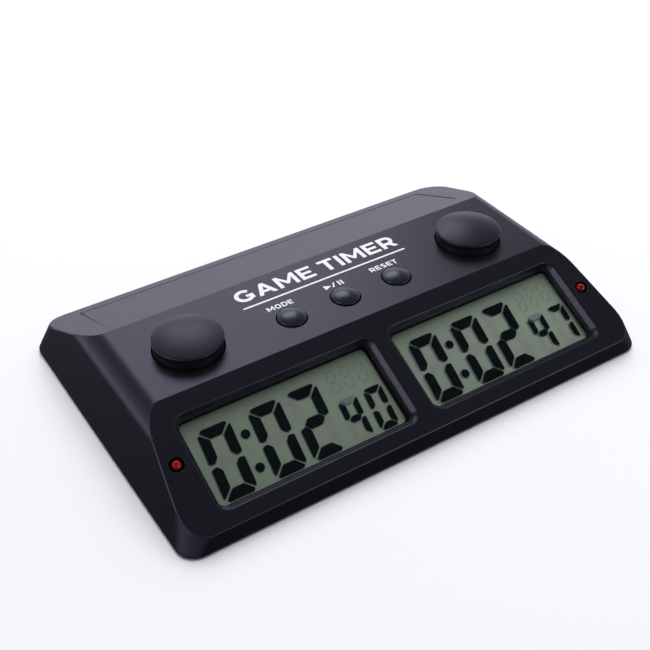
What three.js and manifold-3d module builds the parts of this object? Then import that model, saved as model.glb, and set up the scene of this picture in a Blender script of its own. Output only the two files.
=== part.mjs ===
// A low table-top chess clock: a sloping display panel with two windows, a flat deck with two player
// buttons and three small buttons, and a sloping rear face. Millimetres, +Z up, +X right, +Y away from the
// reader.
// The origin is on the table, under the middle of the clock.
import * as THREE from 'three';
import { mergeVertices } from 'three/addons/utils/BufferGeometryUtils.js';
import Module from 'manifold-3d';

const wasm = await Module();
wasm.setup();

// ---- Driving dimensions ----

const GAP = 0.3; // between neighbouring pieces
const OVERSHOOT = 1; // how far a cutting tool runs past the face it cuts

// Outer casing
const HALF_WIDTH = 102.5; // at the rim
const HALF_DEPTH = 67.5; // at the rim
const RIM_Z = 0.5; // the rim stands this far above the table
const DECK_Z = 29;
const SIDE_DRAFT = 0.34; // how far a side wall leans in for each millimetre of height
const END_DRAFT = 0.13;
const CORNER_RADIUS = 8; // in plan
const DECK_FILLET = 9.4; // where the deck rolls over into the side walls
const WALL = 2.2;

// Display panel
const PANEL_TILT = THREE.MathUtils.degToRad(25.2);
const PANEL_FOOT_Y = -66.6;
const PANEL_FOOT_Z = 7.5;
const PANEL_TOP_Y = PANEL_FOOT_Y + (DECK_Z - PANEL_FOOT_Z) / Math.tan(PANEL_TILT);

// Rear face
const RIDGE_Y = 23.2;
const REAR_FOOT_Y = 66.3;
const REAR_FOOT_Z = 10.5;
const REAR_TILT = Math.atan2(DECK_Z - REAR_FOOT_Z, REAR_FOOT_Y - RIDGE_Y);
const GROOVE_HALF_WIDTH = 83.4; // the groove is a U, open towards the ridge
const GROOVE_START = 8.3; // down the slope from the ridge
const GROOVE_END = 39.2;
const GROOVE_SECTION = 0.8;
const GROOVE_DEPTH = 0.5;

// Display windows, in the panel's own frame: x across, y up the slope from the panel's foot, z out of it
const WINDOW_X = 44.4;
const WINDOW_Y = 25.1;
const WINDOW_HALF_WIDTH = 41.1; // at the rim
const WINDOW_HIGH = 17.95; // the rim's upper edge, from WINDOW_Y
const WINDOW_LOW = -19.55; // and its lower edge
const WINDOW_CORNER = 4.5;
const BEVEL_DEPTH = 2.2; // the recess has a bevel first, and steeper walls below it
const BEVEL_SIDE = 1.65; // how far the bevel comes in at each side
const BEVEL_HIGH = 0.9;
const BEVEL_LOW = 1.65;
const BEVEL_LOW_DEPTH = 0.8; // the bevel is shallower along the lower edge
const WINDOW_TAPER = 0.23; // how far the steeper walls come in for each millimetre of depth
const COLLAR_HALF_WIDTH = 41.6;
const COLLAR_HALF_HEIGHT = 19.05;
const COLLAR_DEPTH = 4.2;
const PANE_THICKNESS = 1;
const PANE_CORNER = 2;
const LCD_THICKNESS = 1.8;
const LCD_HEIGHT = 37.2;
const FRAME_WALL = 1.2;
const FRAME_DEPTH = 6.6; // of the holder's lower bar, which is close to the bottom cover
const LIP_WIDTH = 2;
const LIP_THICKNESS = 0.9;
const LIP_HEIGHT = 12; // of the part of the holder that has lips, at its upper end
const RIBBON_WIDTH = 50;
const RIBBON_THICKNESS = 0.3;
const RIBBON_JOINT = 3; // how far below the display's upper edge the ribbon starts
const RIBBON_BEND = 4; // how far above that edge it turns towards the board
const RIBBON_LANDING = 4; // how much of it lies on the board

// Indicator lamps, in the panel's frame
const LED_X = 90.85;
const LED_Y = 27.1;
const LED_RADIUS = 1.8;
const LED_FLANGE = 2.2;
const LED_FLANGE_HEIGHT = 1;
const LED_HOLE = 2.7;
const LED_TIP = 0.9; // above the panel
const LED_FOOT = -6.5; // below the panel
const LED_BOARD_TOP = LED_FOOT - GAP;
const LED_BOARD_THICKNESS = 1.2;
const LED_BOARD_HALF_LENGTH = 6;
const LED_BOARD_INNER = 2.9; // from the lamp's axis towards the display's holder
const LED_BOARD_OUTER = 3.6; // and towards the side wall
const LEAD_RADIUS = 0.6;

// Buttons
const PLAYER_X = 64.4;
const PLAYER_Y = -0.7;
const PLAYER_RADIUS = 13;
const PLAYER_RIM = 4.9; // height of the cylindrical side above the deck
const PLAYER_CROWN = 7.2; // height of the domed top above the deck
const PLAYER_ROUND = 0.8; // between the side and the dome
const PLAYER_WALL = 1.6;
const PLAYER_CEILING = 2.6; // above the deck, inside the cap
const PLAYER_POST = 3; // radius of the post over the switch
const PLAYER_FLANGE_THICKNESS = 1.2;
const PLAYER_TRAVEL = 2.5;
const SMALL_PITCH = 24.1;
const SMALL_Y = -6.55;
const SMALL_RADIUS = 5.6;
const SMALL_RIM = 0.6;
const SMALL_CROWN = 2.1;
const SMALL_ROUND = 0.4;
const SMALL_POST = 2;
const SMALL_FLANGE_THICKNESS = 1;
const SMALL_TRAVEL = 0.8;
const BUTTON_CLEARANCE = 0.4;
const BUTTON_FLANGE = 1.3; // how far a button's flange reaches past its side
const PLUNGER_GAP = 0.1; // left over a plunger when its button is fully down
const SPRING_RADIUS = 8;
const SPRING_WIRE = 0.5; // radius of the wire

// Electronics
const BOARD_TOP = 17.5;
const BOARD_THICKNESS = 1.6;
const BOARD_HALF_WIDTH = 86;
const BOARD_FRONT_Y = -19;
const BOARD_REAR_Y = 7.5;
const SWITCH_BODY = 6;
const SWITCH_HEIGHT = 3.5;
const PLUNGER_RADIUS = 1.75;
const PLAYER_PLUNGER_Z = 21.9;
const SMALL_PLUNGER_Z = 22.6;
const BOARD_POSTS = [[-82.5, -6], [-40, 1], [40, 1], [82.5, -6]];
const CHIP = { x: -4, y: 3, half: 3, height: 1.4 };
const CRYSTAL = { x: 8, y: 3, radius: 1.5, halfLength: 4 };

// Bottom cover and battery box
const COVER_TOP = 2.5;
const DOOR_TOP = 2.3;
const BOX_HALF_LENGTH = 28.6; // inside
const BOX_FRONT_Y = 9.6; // inside
const BOX_REAR_Y = 39.4; // inside
const BOX_WALL = 1.3;
const BOX_CEILING = 17.6;
const CELL_RADIUS = 7.1;
const CELL_HALF_LENGTH = 24.6; // without the button
const CELL_BUTTON_RADIUS = 2.6;
const CELL_BUTTON = 1;
const CELL_Z = 10;
const CELL_FRONT_Y = 17;
const CELL_REAR_Y = 32;
const PLATE_THICKNESS = 0.4;
const PLATE_X = BOX_HALF_LENGTH - GAP; // outer face of the end plates
const PLATE_HALF = 5; // half the height of a contact plate, and its reach past a cell's axis
const TAB_HALF_WIDTH = 1.5;
const TAB_Z = 20.4;
const CONTACT_SPRING_RADIUS = 3;
const CONTACT_WIRE = 0.35;
const DOOR_RECESS = { halfLength: 8, start: 2, end: 5, depth: 0.8 };
const BUZZER_Y = -6;
const BUZZER_RADIUS = 6;
const BUZZER_HEIGHT = 8.5;
const BUZZER_MOUTH = 1;
const SOUND_HOLE = 0.8;
const SOUND_RING = 3.5;
const FOOT_RADIUS = 6;
const FOOT_HEIGHT = 1.4;
const FOOT_X = 78;
const FOOT_Y = 48;
const CASE_SCREWS = [[-93, -54], [93, -54], [-91, 8], [91, 8], [-89, 52], [89, 52]];
const BOSS_RADIUS = 3.2;
const BOSS_FOOT = 5.3;
const SCREW_RADIUS = 1.1;
const SCREW_HEAD = 2.3;
const SCREW_HEAD_HEIGHT = 1.3;
const SCREW_HEAD_FACE = 0.8; // radius of the head's flat face, as a share of the head's
const SCREW_POINT = 1; // length of its tapered end
const SCREW_LENGTH = 6;
const CROSS = { reach: 1.4, halfWidth: 0.3, depth: 0.7 };
const PILOT_ROOM = 0.8; // past a screw's end

// ---- Solids ----

function solidOf(geometry) {
  const bare = geometry.clone();
  bare.deleteAttribute('normal');
  bare.deleteAttribute('uv');
  const merged = mergeVertices(bare, 1e-4);
  const corners = merged.index.array;
  const triVerts = [];
  for (let i = 0; i < corners.length; i += 3) {
    const [a, b, c] = corners.slice(i, i + 3);
    if (a !== b && b !== c && c !== a) triVerts.push(a, b, c);
  }
  const vertProperties = merged.attributes.position.array;
  const mesh = new wasm.Mesh({ numProp: 3, vertProperties, triVerts: new Uint32Array(triVerts) });
  return new wasm.Manifold(mesh);
}

function geometryOf(solid) {
  const mesh = solid.getMesh();
  const geometry = new THREE.BufferGeometry();
  geometry.setAttribute('position', new THREE.BufferAttribute(mesh.vertProperties, 3));
  geometry.setIndex(new THREE.BufferAttribute(mesh.triVerts, 1));
  geometry.computeVertexNormals();
  return geometry;
}

const unite = (solids) => solids.reduce((sum, next) => sum.add(next));

// A box from its lowest to its highest corner.
function boxGeometry(low, high) {
  const size = high.map((value, i) => value - low[i]);
  const centre = high.map((value, i) => (value + low[i]) / 2);
  return new THREE.BoxGeometry(...size).translate(...centre);
}
const box = (low, high) => solidOf(boxGeometry(low, high));

// An upright cylinder between two heights.
function rodGeometry(radius, x, y, bottom, top, segments = 12) {
  const rod = new THREE.CylinderGeometry(radius, radius, top - bottom, segments);
  return rod.rotateX(Math.PI / 2).translate(x, y, (top + bottom) / 2);
}
const rod = (...sizes) => solidOf(rodGeometry(...sizes));

// An upright prism between two heights. A draft moves its walls in by that much for each millimetre of
// height.
function prismGeometry(shape, bottom, top, draftX = 0, draftY = 0, curveSegments = 4) {
  const depth = top - bottom;
  const prism = new THREE.ExtrudeGeometry(shape, { depth, bevelEnabled: false, curveSegments });
  const place = prism.attributes.position;
  for (let i = 0; i < place.count; i += 1) {
    place.setX(i, place.getX(i) - Math.sign(place.getX(i)) * draftX * place.getZ(i));
    place.setY(i, place.getY(i) - Math.sign(place.getY(i)) * draftY * place.getZ(i));
  }
  return prism.translate(0, 0, bottom);
}
const prism = (...sizes) => solidOf(prismGeometry(...sizes));

// A body of revolution about +Z, from [radius, height] pairs that run from the axis at the bottom to the
// axis at the top.
function latheGeometry(profile, segments = 32) {
  const points = profile.map(([radius, height]) => new THREE.Vector2(radius, height));
  return new THREE.LatheGeometry(points, segments).rotateX(Math.PI / 2);
}

// A round bar bent along a smooth curve through the given points.
function wireGeometry(points, radius, steps, sides = 6) {
  const curve = new THREE.CatmullRomCurve3(points.map((point) => new THREE.Vector3(...point)));
  const section = new THREE.Shape().absarc(0, 0, radius, 0, 2 * Math.PI);
  return new THREE.ExtrudeGeometry(section, { extrudePath: curve, steps, curveSegments: sides });
}

// The curve of a coil about +Z.
class CoilCurve extends THREE.Curve {
  constructor(radius, bottom, top, turns) {
    super();
    Object.assign(this, { radius, bottom, top, turns });
  }

  getPoint(t, target = new THREE.Vector3()) {
    const angle = 2 * Math.PI * this.turns * t;
    const height = this.bottom + (this.top - this.bottom) * t;
    return target.set(this.radius * Math.cos(angle), this.radius * Math.sin(angle), height);
  }
}

function coilGeometry(radius, wire, bottom, top, turns, stepsPerTurn) {
  const section = new THREE.Shape().absarc(0, 0, wire, 0, 2 * Math.PI);
  const extrudePath = new CoilCurve(radius, bottom + wire, top - wire, turns);
  return new THREE.ExtrudeGeometry(section, { extrudePath, steps: turns * stepsPerTurn, curveSegments: 5 });
}

// A closed solid through outlines that have equal numbers of points, listed from the lowest up. The first
// and the last are flat.
function loftGeometry(outlines) {
  const count = outlines[0].length;
  const topStart = (outlines.length - 1) * count;
  const index = [];
  for (let corner = 0; corner < topStart; corner += 1) {
    const next = (corner % count) + 1 < count ? corner + 1 : corner + 1 - count;
    index.push(corner, next, next + count, corner, next + count, corner + count);
  }
  const flat = outlines[0].map(({ x, y }) => new THREE.Vector2(x, y));
  THREE.ShapeUtils.triangulateShape(flat, []).forEach(([a, b, c]) => {
    index.push(c, b, a, topStart + a, topStart + b, topStart + c);
  });
  return new THREE.BufferGeometry().setFromPoints(outlines.flat()).setIndex(index);
}

function roundedRectangle(halfX, halfY, radius) {
  const shape = new THREE.Shape();
  shape.absarc(halfX - radius, halfY - radius, radius, 0, Math.PI / 2);
  shape.absarc(radius - halfX, halfY - radius, radius, Math.PI / 2, Math.PI);
  shape.absarc(radius - halfX, radius - halfY, radius, Math.PI, 1.5 * Math.PI);
  shape.absarc(halfX - radius, radius - halfY, radius, 1.5 * Math.PI, 2 * Math.PI);
  shape.closePath();
  return shape;
}

function polygon(points) {
  return new THREE.Shape(points.map(([x, y]) => new THREE.Vector2(x, y)));
}

// ---- Frames of the sloping faces ----

const panelFrame = new THREE.Matrix4()
  .makeRotationX(PANEL_TILT)
  .setPosition(0, PANEL_FOOT_Y, PANEL_FOOT_Z);
const rearFrame = new THREE.Matrix4()
  .makeRotationX(-REAR_TILT)
  .setPosition(0, RIDGE_Y, DECK_Z);
const onPanel = (geometry) => solidOf(geometry.applyMatrix4(panelFrame));
const onRear = (geometry) => solidOf(geometry.applyMatrix4(rearFrame));
const sides = { left: -1, right: 1 };

// ---- Materials ----

function finish(color, roughness, metalness = 0, more = {}) {
  return new THREE.MeshStandardMaterial({ color, roughness, metalness, ...more });
}

const clock = new THREE.Group();
const panel = new THREE.Group();
panel.applyMatrix4(panelFrame);
clock.add(panel);

function addPiece(name, geometry, material, parent = clock) {
  const mesh = new THREE.Mesh(geometry, material);
  mesh.name = name;
  parent.add(mesh);
  return mesh;
}

// ---- Casing ----

// The casing's outer form moved in by a distance, from a height up: a drafted block with round corners,
// cut by the panel, the deck with its rolled edges, and the rear face.
function casingForm(inset, bottom) {
  const lean = Math.hypot(1, SIDE_DRAFT);
  const rise = bottom - RIM_Z;
  const halfX = HALF_WIDTH - inset * lean - SIDE_DRAFT * rise;
  const halfY = HALF_DEPTH - inset * Math.hypot(1, END_DRAFT) - END_DRAFT * rise;
  const plan = roundedRectangle(halfX, halfY, CORNER_RADIUS - inset);
  const block = prism(plan, bottom, DECK_Z + OVERSHOOT, SIDE_DRAFT, END_DRAFT, 7);
  return block.intersect(lengthwiseForm(inset)).intersect(crosswiseForm(inset));
}

// Side view: foot of the panel, deck, foot of the rear face.
function lengthwiseForm(inset) {
  const deck = DECK_Z - inset;
  const reach = HALF_DEPTH + OVERSHOOT;
  const panelDrop = inset / Math.cos(PANEL_TILT);
  const rearDrop = inset / Math.cos(REAR_TILT);
  const panelAt = (y) => PANEL_FOOT_Z - panelDrop + (y - PANEL_FOOT_Y) * Math.tan(PANEL_TILT);
  const rearAt = (y) => DECK_Z - rearDrop - (y - RIDGE_Y) * Math.tan(REAR_TILT);
  const deckFront = PANEL_FOOT_Y + (deck - PANEL_FOOT_Z + panelDrop) / Math.tan(PANEL_TILT);
  const deckRear = RIDGE_Y + (DECK_Z - rearDrop - deck) / Math.tan(REAR_TILT);
  const outline = polygon([
    [-reach, -OVERSHOOT],
    [reach, -OVERSHOOT],
    [reach, rearAt(reach)],
    [deckRear, deck],
    [deckFront, deck],
    [-reach, panelAt(-reach)],
  ]);
  const length = 2 * (HALF_WIDTH + OVERSHOOT);
  const form = new THREE.ExtrudeGeometry(outline, { depth: length, bevelEnabled: false });
  const turn = new THREE.Matrix4().makeBasis(
    new THREE.Vector3(0, 1, 0),
    new THREE.Vector3(0, 0, 1),
    new THREE.Vector3(1, 0, 0),
  );
  return solidOf(form.applyMatrix4(turn).translate(-length / 2, 0, 0));
}

// Front view: the deck rolls over into the leaning side walls on an arc that is tangent to both.
function crosswiseForm(inset) {
  const virtualEdge = HALF_WIDTH - SIDE_DRAFT * (DECK_Z - RIM_Z);
  const centreX = virtualEdge + DECK_FILLET * (SIDE_DRAFT - Math.hypot(1, SIDE_DRAFT));
  const centreZ = DECK_Z - DECK_FILLET;
  const radius = DECK_FILLET - inset;
  const wallAngle = Math.atan(SIDE_DRAFT);
  const skirtX = HALF_WIDTH + 2 * OVERSHOOT;
  const outline = new THREE.Shape();
  outline.moveTo(-skirtX, -OVERSHOOT);
  outline.lineTo(skirtX, -OVERSHOOT);
  outline.absarc(centreX, centreZ, radius, wallAngle, Math.PI / 2);
  outline.absarc(-centreX, centreZ, radius, Math.PI / 2, Math.PI - wallAngle);
  outline.closePath();
  const depth = 2 * (HALF_DEPTH + OVERSHOOT);
  const form = new THREE.ExtrudeGeometry(outline, { depth, bevelEnabled: false, curveSegments: 8 });
  const turn = new THREE.Matrix4().makeBasis(
    new THREE.Vector3(1, 0, 0),
    new THREE.Vector3(0, 0, 1),
    new THREE.Vector3(0, -1, 0),
  );
  return solidOf(form.applyMatrix4(turn).translate(0, depth / 2, 0));
}

// One display window: a collar behind the panel, and the bevelled recess through both.
function windowCollar(side) {
  const outer = roundedRectangle(COLLAR_HALF_WIDTH, COLLAR_HALF_HEIGHT, WINDOW_CORNER);
  const collar = prismGeometry(outer, -COLLAR_DEPTH, -WALL / 2);
  return onPanel(collar.translate(side * WINDOW_X, WINDOW_Y, 0));
}

// The recess's outline at a height, with its edges moved in. Its lower edge can be at a height of its own.
function windowOutline(height, atSides, atTop, atBottom, heightBelow = height) {
  const high = WINDOW_HIGH - atTop;
  const halfHeight = (high - WINDOW_LOW - atBottom) / 2;
  const corner = WINDOW_CORNER - atSides;
  const shape = roundedRectangle(WINDOW_HALF_WIDTH - atSides, halfHeight, corner);
  const points = shape.getPoints(4).slice(0, -1);
  return points.map(({ x, y }) => {
    const below = THREE.MathUtils.clamp((corner - halfHeight - y) / corner, 0, 1);
    return new THREE.Vector3(x, y + high - halfHeight, THREE.MathUtils.lerp(height, heightBelow, below));
  });
}

function windowRecess(side) {
  const floor = -COLLAR_DEPTH - OVERSHOOT;
  const narrowing = WINDOW_TAPER * (-BEVEL_DEPTH - floor);
  const narrowingBelow = WINDOW_TAPER * (-BEVEL_LOW_DEPTH - floor);
  const recess = loftGeometry([
    windowOutline(floor, BEVEL_SIDE + narrowing, BEVEL_HIGH + narrowing, BEVEL_LOW + narrowingBelow),
    windowOutline(-BEVEL_DEPTH, BEVEL_SIDE, BEVEL_HIGH, BEVEL_LOW, -BEVEL_LOW_DEPTH),
    windowOutline(0, 0, 0, 0),
    windowOutline(OVERSHOOT, 0, 0, 0),
  ]);
  return onPanel(recess.translate(side * WINDOW_X, WINDOW_Y, 0));
}

function ledHole(side) {
  return onPanel(rodGeometry(LED_HOLE, side * LED_X, LED_Y, -2 * WALL, OVERSHOOT));
}

// The engraved U on the rear face.
function groove() {
  const half = GROOVE_SECTION / 2;
  const bar = (x1, y1, x2, y2) => onRear(boxGeometry(
    [x1 - half, y1 - half, -GROOVE_DEPTH],
    [x2 + half, y2 + half, OVERSHOOT],
  ));
  return unite([
    bar(-GROOVE_HALF_WIDTH, GROOVE_END, GROOVE_HALF_WIDTH, GROOVE_END),
    ...Object.values(sides).map((side) => {
      const x = side * GROOVE_HALF_WIDTH;
      return bar(x, GROOVE_START, x, GROOVE_END);
    }),
  ]);
}

function topCasing() {
  const innerForm = casingForm(WALL / 2, RIM_Z);
  const pillars = CASE_SCREWS.map(([x, y]) => rod(BOSS_RADIUS, x, y, BOSS_FOOT, DECK_Z));
  const bosses = unite(pillars).intersect(innerForm);
  const posts = BOARD_POSTS.map(([x, y]) => rod(BOSS_RADIUS, x, y, BOARD_TOP + GAP, DECK_Z - WALL / 2));
  const collars = Object.values(sides).map(windowCollar);
  const shell = casingForm(0, RIM_Z).subtract(casingForm(WALL, RIM_Z - OVERSHOOT));
  const pilot = SCREW_RADIUS + GAP;
  const drillTop = COVER_TOP + SCREW_LENGTH + PILOT_ROOM;
  const bossDrills = CASE_SCREWS.map(([x, y]) => rod(pilot, x, y, 0, drillTop, 8));
  const postDrills = BOARD_POSTS.map(([x, y]) => rod(pilot, x, y, 0, BOARD_TOP + SCREW_LENGTH, 8));
  const holes = Object.values(sides).flatMap((side) => [
    windowRecess(side),
    ledHole(side),
    rod(PLAYER_RADIUS + BUTTON_CLEARANCE, side * PLAYER_X, PLAYER_Y, BOARD_TOP, DECK_Z + OVERSHOOT, 36),
  ]);
  const smallHoles = [-1, 0, 1].map((place) => (
    rod(SMALL_RADIUS + BUTTON_CLEARANCE, place * SMALL_PITCH, SMALL_Y, BOARD_TOP, DECK_Z + OVERSHOOT, 20)
  ));
  return unite([shell, bosses, ...posts, ...collars])
    .subtract(unite([...bossDrills, ...postDrills, ...holes, ...smallHoles, groove()]));
}

// ---- Bottom cover with its battery box ----

function bottomCover() {
  const inset = WALL + GAP;
  const lean = Math.hypot(1, SIDE_DRAFT);
  const plan = roundedRectangle(HALF_WIDTH - inset * lean, HALF_DEPTH - inset, CORNER_RADIUS - inset);
  const plate = prism(plan, RIM_Z, COVER_TOP, SIDE_DRAFT, END_DRAFT, 5);
  const towers = CASE_SCREWS.map(([x, y]) => rod(BOSS_RADIUS + 1, x, y, RIM_Z, BOSS_FOOT - GAP));
  const boxShell = box(
    [-BOX_HALF_LENGTH - BOX_WALL, BOX_FRONT_Y - BOX_WALL, RIM_Z],
    [BOX_HALF_LENGTH + BOX_WALL, BOX_REAR_Y + BOX_WALL, BOX_CEILING + BOX_WALL],
  );
  const boxRoom = box([-BOX_HALF_LENGTH, BOX_FRONT_Y, 0], [BOX_HALF_LENGTH, BOX_REAR_Y, BOX_CEILING]);
  const headRooms = CASE_SCREWS.map(([x, y]) => rod(SCREW_HEAD + GAP, x, y, 0, COVER_TOP + GAP));
  const drills = CASE_SCREWS.map(([x, y]) => rod(SCREW_RADIUS + GAP, x, y, 0, BOSS_FOOT, 8));
  const pocketRadius = FOOT_RADIUS + GAP;
  const footPockets = footPlaces().map(([, x, y]) => rod(pocketRadius, x, y, 0, FOOT_HEIGHT + GAP, 20));
  const tabSlots = [CELL_FRONT_Y, CELL_REAR_Y].map((y) => box(
    [PLATE_X - PLATE_THICKNESS - GAP, y - TAB_HALF_WIDTH - GAP, BOX_CEILING - OVERSHOOT],
    [BOX_HALF_LENGTH, y + TAB_HALF_WIDTH + GAP, TAB_Z],
  ));
  return unite([plate, ...towers, boxShell])
    .subtract(unite([boxRoom, ...headRooms, ...drills, ...footPockets, ...tabSlots, ...soundHoles()]));
}

// A ring of small holes around a middle one, under the buzzer.
function soundHoles() {
  const hole = (x, y) => rod(SOUND_HOLE, x, BUZZER_Y + y, 0, BOSS_FOOT, 6);
  const holes = [hole(0, 0)];
  for (let i = 0; i < 6; i += 1) {
    const angle = (i * Math.PI) / 3;
    holes.push(hole(SOUND_RING * Math.cos(angle), SOUND_RING * Math.sin(angle)));
  }
  return holes;
}

// The door fills the box's opening and has a finger recess on its outer face.
function batteryDoor() {
  const plate = box(
    [GAP - BOX_HALF_LENGTH, BOX_FRONT_Y + GAP, RIM_Z],
    [BOX_HALF_LENGTH - GAP, BOX_REAR_Y - GAP, DOOR_TOP],
  );
  const { halfLength, start, end, depth } = DOOR_RECESS;
  const recess = box(
    [-halfLength, BOX_FRONT_Y + start, 0],
    [halfLength, BOX_FRONT_Y + end, RIM_Z + depth],
  );
  return plate.subtract(recess);
}

function footPlaces() {
  return [
    ['front_left', -FOOT_X, -FOOT_Y],
    ['front_right', FOOT_X, -FOOT_Y],
    ['rear_left', -FOOT_X, FOOT_Y],
    ['rear_right', FOOT_X, FOOT_Y],
  ];
}

// A self-tapping screw with its head down and a cross recess in it.
function screw(x, y, headBottom) {
  const neck = headBottom + SCREW_HEAD_HEIGHT;
  const profile = [
    [0, headBottom],
    [SCREW_HEAD * SCREW_HEAD_FACE, headBottom],
    [SCREW_HEAD, neck],
    [SCREW_RADIUS, neck],
    [SCREW_RADIUS, neck + SCREW_LENGTH - SCREW_POINT],
    [0, neck + SCREW_LENGTH],
  ];
  const { reach, halfWidth, depth } = CROSS;
  const cross = [
    box([-reach, -halfWidth, 0], [reach, halfWidth, headBottom + depth]),
    box([-halfWidth, -reach, 0], [halfWidth, reach, headBottom + depth]),
  ];
  return solidOf(latheGeometry(profile, 8)).subtract(unite(cross)).translate([x, y, 0]);
}

// ---- Display parts, each in the panel's frame ----

function pane() {
  const top = -COLLAR_DEPTH - GAP;
  const outer = roundedRectangle(COLLAR_HALF_WIDTH, COLLAR_HALF_HEIGHT, PANE_CORNER);
  return prismGeometry(outer, top - PANE_THICKNESS, top);
}

const LCD_TOP = -COLLAR_DEPTH - PANE_THICKNESS - 2 * GAP;
const LCD_BACK = LCD_TOP - LCD_THICKNESS;

function lcd() {
  return boxGeometry(
    [-COLLAR_HALF_WIDTH, -LCD_HEIGHT / 2, LCD_BACK],
    [COLLAR_HALF_WIDTH, LCD_HEIGHT / 2, LCD_TOP],
  );
}

// The holder: a ring round pane and display, with lips behind the display's upper corners and sides.
function lcdFrame() {
  const innerX = COLLAR_HALF_WIDTH + GAP;
  const innerY = COLLAR_HALF_HEIGHT + GAP;
  const outerX = innerX + FRAME_WALL;
  const outerY = innerY + FRAME_WALL;
  const front = -WALL - GAP;
  const back = LCD_BACK - GAP - LIP_THICKNESS;
  const ring = box([-outerX, -outerY, -FRAME_DEPTH], [outerX, outerY, front]);
  const deep = box([-outerX, innerY - LIP_HEIGHT, back], [outerX, outerY, front]);
  const room = box([-innerX, -innerY, LCD_BACK - GAP], [innerX, innerY, 0]);
  const backRoom = box([LIP_WIDTH - innerX, -innerY, back - OVERSHOOT], [innerX - LIP_WIDTH, innerY, 0]);
  const ribbonSlot = box(
    [-RIBBON_WIDTH / 2 - OVERSHOOT, innerY - OVERSHOOT, back - OVERSHOOT],
    [RIBBON_WIDTH / 2 + OVERSHOOT, outerY + OVERSHOOT, LCD_BACK + GAP],
  );
  return ring.add(deep).subtract(unite([room, backRoom, ribbonSlot]));
}

// The ribbon leaves the display's back near its upper edge and bends onto the board. The section is drawn
// in the clock's own frame, as [y, z] points.
function ribbon() {
  const lcdEdge = WINDOW_Y + LCD_HEIGHT / 2;
  const lcdZ = LCD_BACK - GAP - RIBBON_THICKNESS / 2;
  const start = new THREE.Vector3(0, lcdEdge - RIBBON_JOINT, lcdZ);
  const bend = new THREE.Vector3(0, lcdEdge + RIBBON_BEND, lcdZ);
  const boardZ = BOARD_TOP + GAP + RIBBON_THICKNESS / 2;
  const curve = new THREE.CatmullRomCurve3([
    start.applyMatrix4(panelFrame),
    bend.applyMatrix4(panelFrame),
    new THREE.Vector3(0, BOARD_FRONT_Y + 1, boardZ + RIBBON_THICKNESS),
    new THREE.Vector3(0, BOARD_FRONT_Y + 1 + RIBBON_LANDING, boardZ),
  ]);
  const section = polygon([
    [-RIBBON_WIDTH / 2, -RIBBON_THICKNESS / 2],
    [RIBBON_WIDTH / 2, -RIBBON_THICKNESS / 2],
    [RIBBON_WIDTH / 2, RIBBON_THICKNESS / 2],
    [-RIBBON_WIDTH / 2, RIBBON_THICKNESS / 2],
  ]);
  return new THREE.ExtrudeGeometry(section, { extrudePath: curve, steps: 12 });
}

function led() {
  const shoulder = LED_TIP - LED_RADIUS;
  const flangeTop = LED_FOOT + LED_FLANGE_HEIGHT;
  const profile = [[0, LED_FOOT], [LED_FLANGE, LED_FOOT], [LED_FLANGE, flangeTop], [LED_RADIUS, flangeTop]];
  for (let i = 0; i <= 4; i += 1) {
    const angle = (i * Math.PI) / 8;
    profile.push([LED_RADIUS * Math.cos(angle), shoulder + LED_RADIUS * Math.sin(angle)]);
  }
  profile[profile.length - 1][0] = 0;
  return latheGeometry(profile, 14);
}

function ledBoard(side) {
  const low = Math.min(-side * LED_BOARD_INNER, side * LED_BOARD_OUTER);
  const high = Math.max(-side * LED_BOARD_INNER, side * LED_BOARD_OUTER);
  return boxGeometry(
    [low, -LED_BOARD_HALF_LENGTH, LED_BOARD_TOP - LED_BOARD_THICKNESS],
    [high, LED_BOARD_HALF_LENGTH, LED_BOARD_TOP],
  );
}

// Two-core lead from a lamp's board to the end of the main board.
function ledLead(side) {
  return wireGeometry([
    [side * LED_X, -33.6, 11],
    [side * 91.5, -28, 12],
    [side * 89.5, -21, 16],
    [side * 85, -15, 18.9],
    [side * 82, -13.5, 18.6],
  ], LEAD_RADIUS, 10);
}

// ---- Buttons and switches ----

// A hollow cap with a flange that stays under the deck and a post that reaches for the switch.
function playerButton(side) {
  const flangeTop = -WALL - GAP;
  const flangeFoot = flangeTop - PLAYER_FLANGE_THICKNESS;
  const bore = PLAYER_RADIUS - PLAYER_WALL;
  const postFoot = PLAYER_PLUNGER_Z + PLAYER_TRAVEL + PLUNGER_GAP - DECK_Z;
  const profile = [
    [0, postFoot],
    [PLAYER_POST, postFoot],
    [PLAYER_POST, PLAYER_CEILING],
    [bore, PLAYER_CEILING],
    [bore, flangeFoot],
    [PLAYER_RADIUS + BUTTON_FLANGE, flangeFoot],
    [PLAYER_RADIUS + BUTTON_FLANGE, flangeTop],
    [PLAYER_RADIUS, flangeTop],
    ...crown(PLAYER_RADIUS, PLAYER_RIM, PLAYER_CROWN, PLAYER_ROUND, 4),
  ];
  return latheGeometry(profile, 32).translate(side * PLAYER_X, PLAYER_Y, DECK_Z);
}

function smallButton(place) {
  const flangeTop = -WALL - GAP;
  const flangeFoot = flangeTop - SMALL_FLANGE_THICKNESS;
  const postFoot = SMALL_PLUNGER_Z + SMALL_TRAVEL + PLUNGER_GAP - DECK_Z;
  const profile = [
    [0, postFoot],
    [SMALL_POST, postFoot],
    [SMALL_POST, flangeFoot],
    [SMALL_RADIUS + BUTTON_FLANGE, flangeFoot],
    [SMALL_RADIUS + BUTTON_FLANGE, flangeTop],
    [SMALL_RADIUS, flangeTop],
    ...crown(SMALL_RADIUS, SMALL_RIM, SMALL_CROWN, SMALL_ROUND, 3),
  ];
  return latheGeometry(profile, 20).translate(place * SMALL_PITCH, SMALL_Y, DECK_Z);
}

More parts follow.
